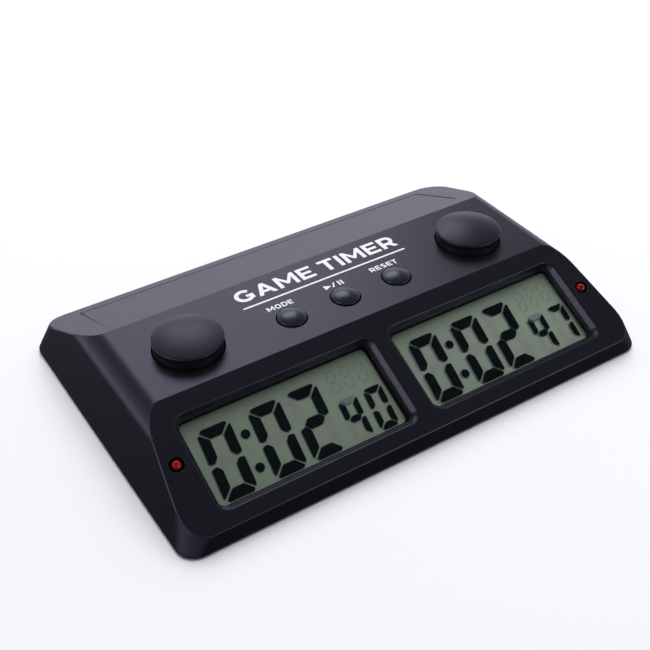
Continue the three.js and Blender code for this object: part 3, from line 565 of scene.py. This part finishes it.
def groove_tool():
    """The engraved U of the rear face, open towards the ridge, with mitred corners and leaning flanks."""
    mouth, bottom, above = GROOVE_SECTION / 2 + GROOVE_LEAN, GROOVE_SECTION / 2 - GROOVE_LEAN, 0.5
    section = [(mouth, above), (mouth, 0), (bottom, -GROOVE_DEPTH),
               (-bottom, -GROOVE_DEPTH), (-mouth, 0), (-mouth, above)]
    corners = [(-GROOVE_HALF_WIDTH, -GROOVE_START), (-GROOVE_HALF_WIDTH, -GROOVE_END),
               (GROOVE_HALF_WIDTH, -GROOVE_END), (GROOVE_HALF_WIDTH, -GROOVE_START)]
    outward = [(-1, 0), (-1, -1), (1, -1), (1, 0)]
    rings = [
        [(x + offset * dx, -(y + offset * dy), height) for offset, height in section]
        for (x, y), (dx, dy) in zip(corners, outward)
    ]
    return solid(loft(rings), rear_frame)


def inner_parts():
    """What the casing carries inside: window collars, bosses for the case screws, posts for the board."""
    parts = []
    for side in SIDES.values():
        collar = rounded_slab(COLLAR_HALF_WIDTH, COLLAR_HALF_HEIGHT, -COLLAR_DEPTH, -WALL / 2,
                              WINDOW_CORNER, 0.2)
        parts.append(solid(collar, window_place(side)))
    form = [(normal, distance - WALL / 2) for normal, distance in casing_planes()]
    for x, y, _, top in screw_places():
        foot = BOSS_FOOT if top < BOARD_TOP else BOARD_TOP + GAP
        profile = [(0, foot), (BOSS_RADIUS, foot), (BOSS_RADIUS, DECK_Z), (0, DECK_Z)]
        pillar = solid(lathe(profile, 48), at(x, y, 0))
        parts.append(combine(pillar, [solid(convex(form))], "INTERSECT"))
    return parts


def screw_places():
    """x, y, foot and top of every screw."""
    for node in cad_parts:
        if "_screw_" in node:
            low, high = (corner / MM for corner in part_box(node))
            yield (low.x + high.x) / 2, (low.y + high.y) / 2, low.z, high.z


def pilot_holes():
    for x, y, foot, top in screw_places():
        profile = [(0, foot), (PILOT_RADIUS, foot), (PILOT_RADIUS, top + PILOT_ROOM), (0, top + PILOT_ROOM)]
        yield solid(lathe(profile, 32), at(x, y, 0))


def top_casing():
    planes = casing_planes()
    cavity = [(normal, distance - WALL) for normal, distance in planes[1:]]
    cavity.append((Vector((0, 0, -1)), 1 - RIM_Z))
    casing = add_object("casing_shell", rounded_convex(planes, EDGE), casing_black)
    combine(casing, [solid(convex(cavity))], "DIFFERENCE")
    combine(casing, inner_parts(), "UNION")
    tools = [groove_tool(), *pilot_holes()]
    for side in SIDES.values():
        tools.append(window_tool(side))
        tools.append(hole_tool(LED_HOLE, LED_RIM, LED_HOLE_DEPTH, lamp_place(side)))
    for name in SIDES:
        place = on_deck(f"player_button_{name}")
        tools.append(hole_tool(player_radius + BUTTON_CLEARANCE, PLAYER_RIM, BUTTON_HOLE_DEPTH, place))
    for name in SMALL_BUTTONS:
        place = on_deck(f"{name}_button")
        tools.append(hole_tool(small_radius + BUTTON_CLEARANCE, SMALL_RIM, BUTTON_HOLE_DEPTH, place))
    combine(casing, tools, "DIFFERENCE")
    shade(casing)
    return finish_piece(casing, "casing", "casing_plastic", "top_casing")


def finish_piece(piece, body, slot, *nodes):
    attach(piece, body)
    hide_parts(*nodes)
    return piece


# ---- Buttons ----

FLANGE = 1.3
OVERHANG = 0.4  # how far a player's cap widens above its waist, which stays above the deck when pressed
PLAYER_TRAVEL = 2.5
SPRING_RADIUS, SPRING_WIRE, SPRING_TURNS = 8, 0.5, 4.5
player_radius = node_size("player_button_left").x / 2 - FLANGE
small_radius = node_size("mode_button").x / 2 - FLANGE


def dome(radius, rim, top, steps=20):
    """Points of a spherical cap from its rim to the axis."""
    rise = top - rim
    sphere = (radius ** 2 + rise ** 2) / (2 * rise)
    radii = [radius * (1 - i / steps) for i in range(steps + 1)]
    return [(r, top - sphere + math.sqrt(sphere ** 2 - r ** 2)) for r in radii]


def player_button(name):
    node = f"player_button_{name}"
    low, high = (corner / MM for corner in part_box(node))
    foot, top = low.z - DECK_Z, high.z - DECK_Z
    rim, waist = top - 2.3, PLAYER_TRAVEL + 0.4
    ceiling, wall, flange_top, flange_foot, post = 2.6, 1.6, -WALL - GAP, -WALL - 1.5, 3
    skirt = [(0, foot), (post, foot), (post, ceiling), (player_radius - wall, ceiling),
             (player_radius - wall, flange_foot), (player_radius + FLANGE, flange_foot),
             (player_radius + FLANGE, flange_top), (player_radius, flange_top), (player_radius, waist),
             (player_radius + OVERHANG, rim)]
    cap_points = dome(player_radius + OVERHANG, rim, top)
    profile = soften([*skirt, cap_points[2]], 0.6)[:-1] + [Vector(p) for p in cap_points[2:]]
    piece = add_object(f"player_cap_{name}", lathe(profile, 128), button_black, on_deck(node))
    return finish_piece(piece, f"player_{name}", "button_plastic", node)


def coil(radius, wire, bottom, top, turns, sides=10, steps=32):
    """A compression spring about +Z. Its end turns lie close together."""
    rise = top - bottom - 2 * wire
    end = 2.6 * wire  # how far an end turn climbs
    count = round(turns * steps)
    rings = []
    for i in range(count + 1):
        turn = turns * i / count
        middle = (rise - 2 * end) * min(1, max(0, turn - 1) / (turns - 2))
        height = bottom + wire + end * (min(1, turn) + max(0, turn - turns + 1)) + middle
        out = Vector((math.cos(2 * math.pi * turn), math.sin(2 * math.pi * turn), 0))
        around = [2 * math.pi * k / sides for k in range(sides)]
        rings.append([(radius + wire * math.cos(a)) * out + Vector((0, 0, height + wire * math.sin(a)))
                      for a in around])
    return loft(rings)


def player_spring(name):
    """The spring under a player's button, with a mesh of its own."""
    node = f"player_spring_{name}"
    low, high = (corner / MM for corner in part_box(node))
    centre = node_centre(f"player_button_{name}")
    wound = coil(SPRING_RADIUS, SPRING_WIRE, low.z, high.z, SPRING_TURNS)
    piece = add_object(f"cap_spring_{name}", wound, spring_steel, at(centre.x, centre.y, 0))
    finish_piece(piece, "casing", "spring_steel", node)
    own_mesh(piece)


def small_button(name):
    node = f"{name}_button"
    low, high = (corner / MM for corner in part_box(node))
    foot, top = low.z - DECK_Z, high.z - DECK_Z
    rim, flange_top, flange_foot, stem = 0.6, -WALL - GAP, -WALL - 1.3, 2
    skirt = [(0, foot), (stem, foot), (stem, flange_foot), (small_radius + FLANGE, flange_foot),
             (small_radius + FLANGE, flange_top), (small_radius, flange_top), (small_radius, rim)]
    cap_points = dome(small_radius, rim, top)
    profile = soften([*skirt, cap_points[2]], 0.35)[:-1] + [Vector(p) for p in cap_points[2:]]
    piece = add_object(f"{name}_cap", lathe(profile), cap_black, on_deck(node))
    return finish_piece(piece, name, "button_plastic", node)


# ---- Lamps ----


def lamp(name, side):
    """A domed lamp with a flange, in its hole in the panel."""
    foot, flange, radius, tip = -6.5, 2.2, 1.8, 0.9
    body = [(0, foot), (flange, foot), (flange, foot + 1), (radius, foot + 1), (radius, tip - radius)]
    profile = soften(body, 0.2)
    for i in range(1, 17):
        angle = math.pi / 2 * i / 16
        profile.append(Vector((radius * math.cos(angle), tip - radius + radius * math.sin(angle))))
    profile[-1].x = 0
    piece = add_object(f"lamp_{name}", lathe(profile, 64), led_red, lamp_place(side))
    return finish_piece(piece, "casing", "led_red", f"led_{name}")


# ---- Displays ----

BIG_HEIGHT, BIG_WIDTH, BIG_STROKE = 27.2, 12.8, 4.0
SMALL_HEIGHT, SMALL_WIDTH, SMALL_STROKE = 16.9, 7.75, 2.4
UPRIGHT_SHARE = 0.93  # an upright bar's thickness against a level one's
DIGIT_SLANT = 0.085
DIGIT_FOOT = -15.65
SEGMENT_GAP = 0.66
BIG_LEFTS = (-36.1, -16.15, -0.5)
SMALL_LEFTS = (16.9, 27.9)
COUNTER_LEFTS = (18.4, 24.4, 30.4)
COUNTER_WIDTH, COUNTER_HEIGHT, COUNTER_STROKE = 4.5, 9.6, 1.3
COUNTER_FOOT = 3.8
COLON_DOTS = ((-18.05, 4.05), (-19.3, -9.0))
DOT_RADIUS = 1.65
REFLECTOR_TOP = LCD_TOP - 0.5
FILM = 0.02  # how thick a printed bar is
GLASS_CORNER = 0.6
MASK_HALF_WIDTH = 38.55
MASK_HALF_HEIGHT = 16.3
MASK_CORNER = 2.1
BARS = "abcdefg"
SEGMENTS = {"0": "abcdef", "2": "abdeg", "4": "bcfg", "7": "abc"}


def clip_corner(points, radius):
    """A closed outline with each corner rounded a little."""
    return soften([points[-1], *points, points[0]], radius, 3)[1:-1]


def segment_outline(letter, width, height, stroke):
    """One of the seven bars of a digit whose lower left corner is at the origin, before it is slanted."""
    mid, half, gap, tip = height / 2, stroke / 2, SEGMENT_GAP * 0.72, stroke * 0.2
    side = stroke * UPRIGHT_SHARE
    if letter == "a":
        return [(1.35 * tip, height - tip), (2.3 * tip, height), (width - 2.3 * tip, height),
                (width - 1.35 * tip, height - tip), (width - side - gap, height - stroke),
                (side + gap, height - stroke)]
    if letter == "f":
        return [(0, mid + gap + half * 0.3), (0, height - gap - 2 * tip),
                (tip * 0.6, height - gap - 1.3 * tip), (side, height - stroke - gap * 1.1),
                (side, mid + half + gap * 0.9), (half, mid + gap * 1.2)]
    if letter == "g":
        end, shoulder = half + gap * 0.5, side + gap * 0.7
        return [(end, mid), (shoulder, mid + half), (width - shoulder, mid + half),
                (width - end, mid), (width - shoulder, mid - half), (shoulder, mid - half)]
    source = {"b": "f", "c": "f", "d": "a", "e": "f"}[letter]
    points = segment_outline(source, width, height, stroke)
    if letter in "bc":
        points = [(width - x, y) for x, y in points]
    if letter in "cde":
        points = [(x, height - y) for x, y in points]
    return points


def digit_outlines(letters, left, width, height, stroke, foot=DIGIT_FOOT):
    """Slanted outlines of a digit's bars. left is where its foot's left edge is in the window."""
    for letter in letters:
        corners = segment_outline(letter, width, height, stroke)
        placed = [Vector((left + x + DIGIT_SLANT * y, foot + y)) for x, y in corners]
        yield clip_corner(placed, stroke * 0.13)


def dot_outlines():
    turns = [2 * math.pi * i / 32 for i in range(32)]
    for x, y in COLON_DOTS:
        yield [Vector((x + DOT_RADIUS * math.cos(a), y + DOT_RADIUS * math.sin(a))) for a in turns]


def every_digit(text, choose):
    """Outlines of the chosen bars of three big digits, then two small ones."""
    for character, left in zip(text[:3], BIG_LEFTS):
        yield from digit_outlines(choose(character), left, BIG_WIDTH, BIG_HEIGHT, BIG_STROKE)
    for character, left in zip(text[3:], SMALL_LEFTS):
        yield from digit_outlines(choose(character), left, SMALL_WIDTH, SMALL_HEIGHT, SMALL_STROKE)


def digits(text):
    """Outlines of the dark bars and of the colon."""
    yield from every_digit(text, SEGMENTS.get)
    yield from dot_outlines()


def unlit(text):
    """Outlines of the bars that are off. The 4's upper bar is on, but weak."""
    return every_digit(text, lambda character: [
        bar for bar in BARS if bar not in SEGMENTS[character] and (character, bar) != ("4", "a")])


def counter():
    """Outlines of three tiny digits, all off, above the small ones."""
    for left in COUNTER_LEFTS:
        yield from digit_outlines(BARS, left, COUNTER_WIDTH, COUNTER_HEIGHT, COUNTER_STROKE, COUNTER_FOOT)


def plates(outlines, height, thickness, shift=(0, 0)):
    """Thin closed plates with those outlines, standing on a height."""
    bm = bmesh.new()
    for outline in outlines:
        low = [bm.verts.new((p.x + shift[0], p.y + shift[1], height)) for p in outline]
        high = [bm.verts.new((p.x + shift[0], p.y + shift[1], height + thickness)) for p in outline]
        bm.faces.new(reversed(low))
        bm.faces.new(high)
        for i in range(len(outline)):
            j = (i + 1) % len(outline)
            bm.faces.new((low[i], low[j], high[j], high[i]))
    return bm


def ring_plate(outer, inner, bottom, top):
    """A flat frame between two outlines that have the same number of points."""
    bm = bmesh.new()
    loops = [[bm.verts.new((x, y, height)) for x, y in outline]
             for outline, height in ((inner, bottom), (outer, bottom), (outer, top), (inner, top))]
    for one, other in zip(loops, loops[1:] + loops[:1]):
        for i in range(len(outer)):
            j = (i + 1) % len(outer)
            bm.faces.new((one[i], one[j], other[j], other[i]))
    return bm


def display(name, side, text, shadow, offset):
    """The reflector with unlit bars and shadows, the dark bars in the glass above it, and a black mask."""
    body = rounded_slab(COLLAR_HALF_WIDTH, LCD_HEIGHT / 2, LCD_TOP - LCD_THICKNESS, REFLECTOR_TOP,
                        GLASS_CORNER, 0.15)
    reflector = add_object(f"display_reflector_{name}", body, reflector_green, window_place(side))
    finish_piece(reflector, "casing", "lcd_glass", f"lcd_{name}")
    opening = [(x + offset, y) for x, y in rounded_rectangle(MASK_HALF_WIDTH, MASK_HALF_HEIGHT, MASK_CORNER)]
    border = rounded_rectangle(COLLAR_HALF_WIDTH, LCD_HEIGHT / 2, GLASS_CORNER)
    rim = ring_plate(border, opening, LCD_TOP, LCD_TOP + 2 * FILM)
    mask = add_object(f"display_mask_{name}", rim, holder_black, window_place(side))
    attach(mask, "casing")
    layers = {
        "unlit": (unlit(text), REFLECTOR_TOP, (0, 0), ghost_grey),
        "counter": (counter(), REFLECTOR_TOP, (0, 0), ghost_faint),
        "shadow": (digits(text), REFLECTOR_TOP + FILM, shadow, shadow_blue),
        "bars": (digits(text), LCD_TOP - 3 * FILM, (0, 0), segment_ink),
        "weak_bar": (digit_outlines("a", SMALL_LEFTS[0], SMALL_WIDTH, SMALL_HEIGHT, SMALL_STROKE),
                     LCD_TOP - 3 * FILM, (0, 0), ghost_blue),
    }
    for layer, (outlines, height, shift, material) in layers.items():
        film = add_object(f"display_{layer}_{name}", plates(outlines, height, FILM, shift), material,
                          window_place(side, offset))
        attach(film, "casing")


def pane(name, side):
    slab = rounded_slab(COLLAR_HALF_WIDTH, COLLAR_HALF_HEIGHT, PANE_TOP - PANE_THICKNESS, PANE_TOP, 2, 0.15)
    piece = add_object(f"pane_{name}", slab, clear_pane, window_place(side))
    return finish_piece(piece, "casing", "window_clear", f"window_{name}")


# ---- Printing on the deck ----

INK = 0.03  # how thick the ink is
STROKE = 0.215  # a capital's strokes, against its height
HALF = STROKE / 2
TOP_LINE, FOOT_LINE = 1 - HALF * 0.9, HALF * 0.9  # the middles of a capital's level strokes
LETTER_GAP, WORD_GAP = 0.16, 0.32
TITLE_HEIGHT, TITLE_WIDTH = 7.5, 74.6
LABEL_Y, LABEL_HEIGHT = 2.35, 2.7


def arc_points(centre, radius, start, end, stretch=1.0):
    """Points of an arc between two angles in degrees."""
    steps = max(4, round(abs(end - start) / 9))
    turns = [math.radians(start + (end - start) * i / steps) for i in range(steps + 1)]
    return [(centre[0] + stretch * radius * math.cos(a), centre[1] + radius * math.sin(a)) for a in turns]


def stroke(points, thickness=STROKE):
    """The outline of a line of even thickness with square ends."""
    points = [Vector(p) for p in points]
    left, right = [], []
    for i, point in enumerate(points):
        before = (point - points[i - 1]).normalized() if i else (points[1] - point).normalized()
        after = (points[i + 1] - point).normalized() if i + 1 < len(points) else before
        across = Vector((-(before + after).y, (before + after).x)).normalized()
        reach = thickness / 2 / max(0.3, across.dot(Vector((-before.y, before.x))))
        left.append(point + across * reach)
        right.append(point - across * reach)
    return left + right[::-1]


def upright(x, bottom=0.0, top=1.0):
    return stroke([(x, bottom), (x, top)])


def level(y, left, right):
    return stroke([(left, y), (right, y)], STROKE * 0.9)


def mirrored(outline, width):
    return [Vector((width - x, y)) for x, y in outline]


def capital(letter):
    """The width of a capital of height 1, and the outlines whose union it is."""
    if letter == "A":
        leg = [Vector(p) for p in ((0, 0), (0.235, 0), (0.62, 1), (0.40, 1))]
        return 1.02, [leg, mirrored(leg, 1.02), level(0.30, 0.2, 0.82)]
    if letter == "D":
        bowl = [(HALF, TOP_LINE), *arc_points((0.42, 0.5), TOP_LINE - 0.5, 90, -90), (HALF, FOOT_LINE)]
        return 0.92, [upright(HALF), stroke(bowl)]
    if letter == "E":
        levels = [level(TOP_LINE, 0, 0.78), level(0.5, 0, 0.70), level(FOOT_LINE, 0, 0.78)]
        return 0.78, [upright(HALF), *levels]
    if letter == "G":
        bowl = arc_points((0.51, 0.5), 0.5 - HALF, 42, 318)
        return 0.97, [stroke(bowl), upright(0.97 - HALF, 0.14, 0.53), level(0.44, 0.58, 0.9)]
    if letter == "I":
        return STROKE, [upright(HALF)]
    if letter == "M":
        leg = [Vector(p) for p in ((0.02, 1), (0.19, 1), (0.60, 0.40), (0.60, 0.20), (0.50, 0.20))]
        return 1.12, [upright(HALF), upright(1.12 - HALF), leg, mirrored(leg, 1.12)]
    if letter == "O":
        return 1.04, [stroke(arc_points((0.52, 0.5), 0.5 - HALF, start, start + 190)) for start in (0, 180)]
    if letter == "R":
        middle = 0.64
        bowl = [(HALF, TOP_LINE), *arc_points((0.45, middle), TOP_LINE - middle, 90, -90),
                (HALF, 2 * middle - TOP_LINE)]
        leg = [Vector(p) for p in ((0.33, 0.38), (0.58, 0.42), (0.86, 0), (0.61, 0))]
        return 0.86, [upright(HALF), stroke(bowl), leg]
    if letter == "S":
        upper = arc_points((0.41, 0.715), 0.285 - HALF * 0.9, 38, 262, 1.5)
        lower = arc_points((0.41, 0.285), 0.285 - HALF * 0.9, 82, -142, 1.5)
        return 0.82, [stroke(upper + lower)]
    return 0.84, [upright(0.42), level(TOP_LINE, 0, 0.84)]  # T


def lettering(name, words, x, y, cap_height, width):
    """Printed capitals, centred at x, y, with a given cap height and overall width."""
    outlines, reach = [], 0
    for character in words:
        if character == " ":
            reach += WORD_GAP
            continue
        advance, shapes = capital(character)
        outlines += [[Vector((reach + p[0], p[1])) for p in shape] for shape in shapes]
        reach += advance + LETTER_GAP
    fit = width / (reach - LETTER_GAP)
    placed = [[Vector((x - width / 2 + p.x * fit, y + (p.y - 0.5) * cap_height)) for p in shape]
              for shape in outlines]
    solids = [solid(plates([shape], DECK_Z, INK)) for shape in placed]
    piece = combine(solids[0], solids[1:], "UNION")
    piece.name = piece.data.name = name
    piece.data.materials.clear()
    piece.data.materials.append(ink_white)
    piece.data.set_sharp_from_angle(angle=math.radians(30))
    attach(piece, "casing")
    return piece


def printed(name, outlines):
    piece = add_object(name, plates(outlines, DECK_Z, INK), ink_white)
    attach(piece, "casing")
    return piece


def bar_outline(x1, x2, y, thickness):
    """A straight line with round ends."""
    points, radius = [], thickness / 2
    for centre, start in ((x2, -math.pi / 2), (x1, math.pi / 2)):
        for i in range(13):
            angle = start + math.pi * i / 12
            points.append(Vector((centre + radius * math.cos(angle), y + radius * math.sin(angle))))
    return points


def play_pause_symbol(x, y, height):
    """A triangle, a slash and two bars. Each shape's points are (offset from x, -1 foot to 1 top)."""
    shapes = [[(-4.0, -1), (-0.9, 0), (-4.0, 1)], [(-0.9, -1), (-0.2, -1), (1.3, 1), (0.6, 1)]]
    shapes += [[(left, -1), (left + 0.75, -1), (left + 0.75, 1), (left, 1)] for left in (2.3, 3.7)]
    return [[Vector((x + along, y + up * height / 2)) for along, up in shape] for shape in shapes]


def printing():
    lettering("title", "GAME TIMER", 0.8, 15.05, TITLE_HEIGHT, TITLE_WIDTH)
    printed("title_line", [bar_outline(-36.5, 38.0, 7.7, 0.85)])
    places = [node_centre(f"{name}_button").x for name in SMALL_BUTTONS]
    lettering("label_mode", "MODE", places[0] + 0.1, LABEL_Y, LABEL_HEIGHT, 11.1)
    printed("label_play_pause", play_pause_symbol(places[1] + 0.1, LABEL_Y, LABEL_HEIGHT + 0.1))
    lettering("label_reset", "RESET", places[2], LABEL_Y, LABEL_HEIGHT, 12.9)


# ---- Underside ----


def foot(name):
    node = f"foot_{name}"
    centre, size = node_centre(node), node_size(node)
    profile = soften([(0, 0), (size.x / 2, 0), (size.x / 2, size.z), (0, size.z)], 0.35)
    piece = add_object(f"pad_{name}", lathe(profile, 64), rubber_grey, at(centre.x, centre.y, 0))
    return finish_piece(piece, "casing", "foot_rubber", node)


def placed_nodes():
    """Looks for the CAD nodes that stay as they are."""
    switches = [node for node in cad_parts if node.endswith("_switch") or "player_switch" in node]
    looks = [
        (board_green, ["main_board", "led_board_left", "led_board_right"]),
        (switch_black, [*switches, "controller_chip", "buzzer"]),
        (spring_steel, ["contact_spring_front", "contact_spring_rear", "clock_crystal"]),
        (screw_steel, [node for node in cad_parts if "_screw_" in node]),
        (contact_nickel, ["battery_link", "positive_plate", "negative_plate"]),
        (ribbon_amber, ["lcd_ribbon_left", "lcd_ribbon_right"]),
        (sleeve_red, ["led_lead_left", "led_lead_right", "positive_wire"]),
        (holder_black, ["negative_wire", "lcd_frame_left", "lcd_frame_right"]),
        (cell_blue, ["battery_cell_front", "battery_cell_rear"]),
        (cover_black, ["bottom_cover", "battery_door"]),
    ]
    for material, nodes in looks:
        for node in nodes:
            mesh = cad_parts[node].data
            mesh.materials.clear()
            mesh.materials.append(material)


# ---- Studio ----

CAMERA_PLACE = Vector((-0.1820, -0.2749, 0.2714))
CAMERA_AIM = Vector((-0.0100, -0.0074, 0.0200))
CAMERA_ROLL = math.radians(0.24)
CAMERA_LENS = 58.4

# The surroundings' brightness at each height, from -1 straight down to 1 straight up.
GLOW = ((-0.28, 0.02), (-0.20, 0.2), (-0.12, 1.35), (0.02, 1.3), (0.12, 0.6), (0.40, 0.4), (0.75, 0.17),
        (1.0, 0.15))
GLOW_TINT = (0.95, 0.965, 1.09)
LIT_POINT = Vector((0, 0, 0.01))


def camera():
    data = bpy.data.cameras.new("camera")
    data.lens = CAMERA_LENS
    data.sensor_width = 36
    data.clip_start, data.clip_end = 0.01, 50
    made = bpy.data.objects.new("camera", data)
    bpy.context.scene.collection.objects.link(made)
    turn = (CAMERA_AIM - CAMERA_PLACE).to_track_quat("-Z", "Y")
    made.matrix_world = (Matrix.Translation(CAMERA_PLACE) @ turn.to_matrix().to_4x4()
                         @ Matrix.Rotation(-CAMERA_ROLL, 4, "Z"))
    bpy.context.scene.camera = made


def floor():
    bm = bmesh.new()
    bmesh.ops.create_grid(bm, x_segments=1, y_segments=1, size=4)
    mesh = bpy.data.meshes.new("floor")
    bm.to_mesh(mesh)
    bm.free()
    paint = Paint("floor_white", (0.92, 0.93, 0.95), 0.9, Specular_IOR_Level=0.0)
    mesh.materials.append(paint.material)
    made = bpy.data.objects.new("floor", mesh)
    bpy.context.scene.collection.objects.link(made)
    made.visible_glossy = False


def softbox(name, place, size, radiance, glossy=True, diffuse=True):
    """A square area light of that radiance, facing the clock."""
    data = bpy.data.lights.new(name, "AREA")
    data.size = size
    data.energy = math.pi * size ** 2 * radiance
    made = bpy.data.objects.new(name, data)
    bpy.context.scene.collection.objects.link(made)
    turn = (LIT_POINT - place).to_track_quat("-Z", "Y")
    made.matrix_world = Matrix.Translation(place) @ turn.to_matrix().to_4x4()
    made.visible_glossy = glossy
    made.visible_diffuse = diffuse
    return made


def surroundings():
    """A studio that is bright near the horizon, most of all behind the clock, and dim above and below."""
    world = bpy.data.worlds.new("studio")
    bpy.context.scene.world = world
    world.use_nodes = True
    tree = world.node_tree
    place = tree.nodes.new("ShaderNodeTexCoord").outputs["Generated"]
    split = tree.nodes.new("ShaderNodeSeparateXYZ")
    tree.links.new(place, split.inputs[0])
    half = tree.nodes.new("ShaderNodeMapRange")
    half.inputs["From Min"].default_value = -1
    tree.links.new(split.outputs["Z"], half.inputs["Value"])
    ramp = tree.nodes.new("ShaderNodeValToRGB")
    tree.links.new(half.outputs["Result"], ramp.inputs["Fac"])
    for index, (height, value) in enumerate(GLOW):
        stop = ramp.color_ramp.elements[index] if index < 2 else ramp.color_ramp.elements.new(0.999)
        stop.position = (height + 1) / 2
        stop.color = (*(value * tint for tint in GLOW_TINT), 1)
    behind = tree.nodes.new("ShaderNodeMapRange")
    behind.inputs["From Min"].default_value = -1
    behind.inputs["To Min"].default_value = 0.5
    behind.inputs["To Max"].default_value = 1.25
    tree.links.new(split.outputs["Y"], behind.inputs["Value"])
    background = tree.nodes["Background"]
    tree.links.new(ramp.outputs["Color"], background.inputs["Color"])
    tree.links.new(behind.outputs["Result"], background.inputs["Strength"])


def studio():
    camera()
    floor()
    surroundings()
    softbox("overhead", Vector((0.35, 0.25, 1.6)), 1.6, 3.2, glossy=False)
    softbox("window_behind", Vector((0.33, 0.88, 0.91)), 0.72, 2.45)
    left = softbox("card_left", Vector((-1.16, 0.11, 0.57)), 0.6, 3.8, diffuse=False)
    left.data.color = (1.0, 0.90, 0.80)
    front = softbox("card_front", Vector((0.55, -1.05, 0.10)), 0.5, 4.2, diffuse=False)
    front.visible_camera = False
    bpy.context.scene.view_settings.view_transform = "Standard"


# ---- Assembly ----

top_casing()
for side_name, sign in SIDES.items():
    player_button(side_name)
    player_spring(side_name)
    lamp(side_name, sign)
    pane(side_name, sign)
for button_name in SMALL_BUTTONS:
    small_button(button_name)
display("left", SIDES["left"], "00240", (-0.4, -0.05), 0)
display("right", SIDES["right"], "00247", (-0.9, -0.1), 1.0)
printing()
for corner_name in ("front_left", "front_right", "rear_left", "rear_right"):
    foot(corner_name)
placed_nodes()
studio()
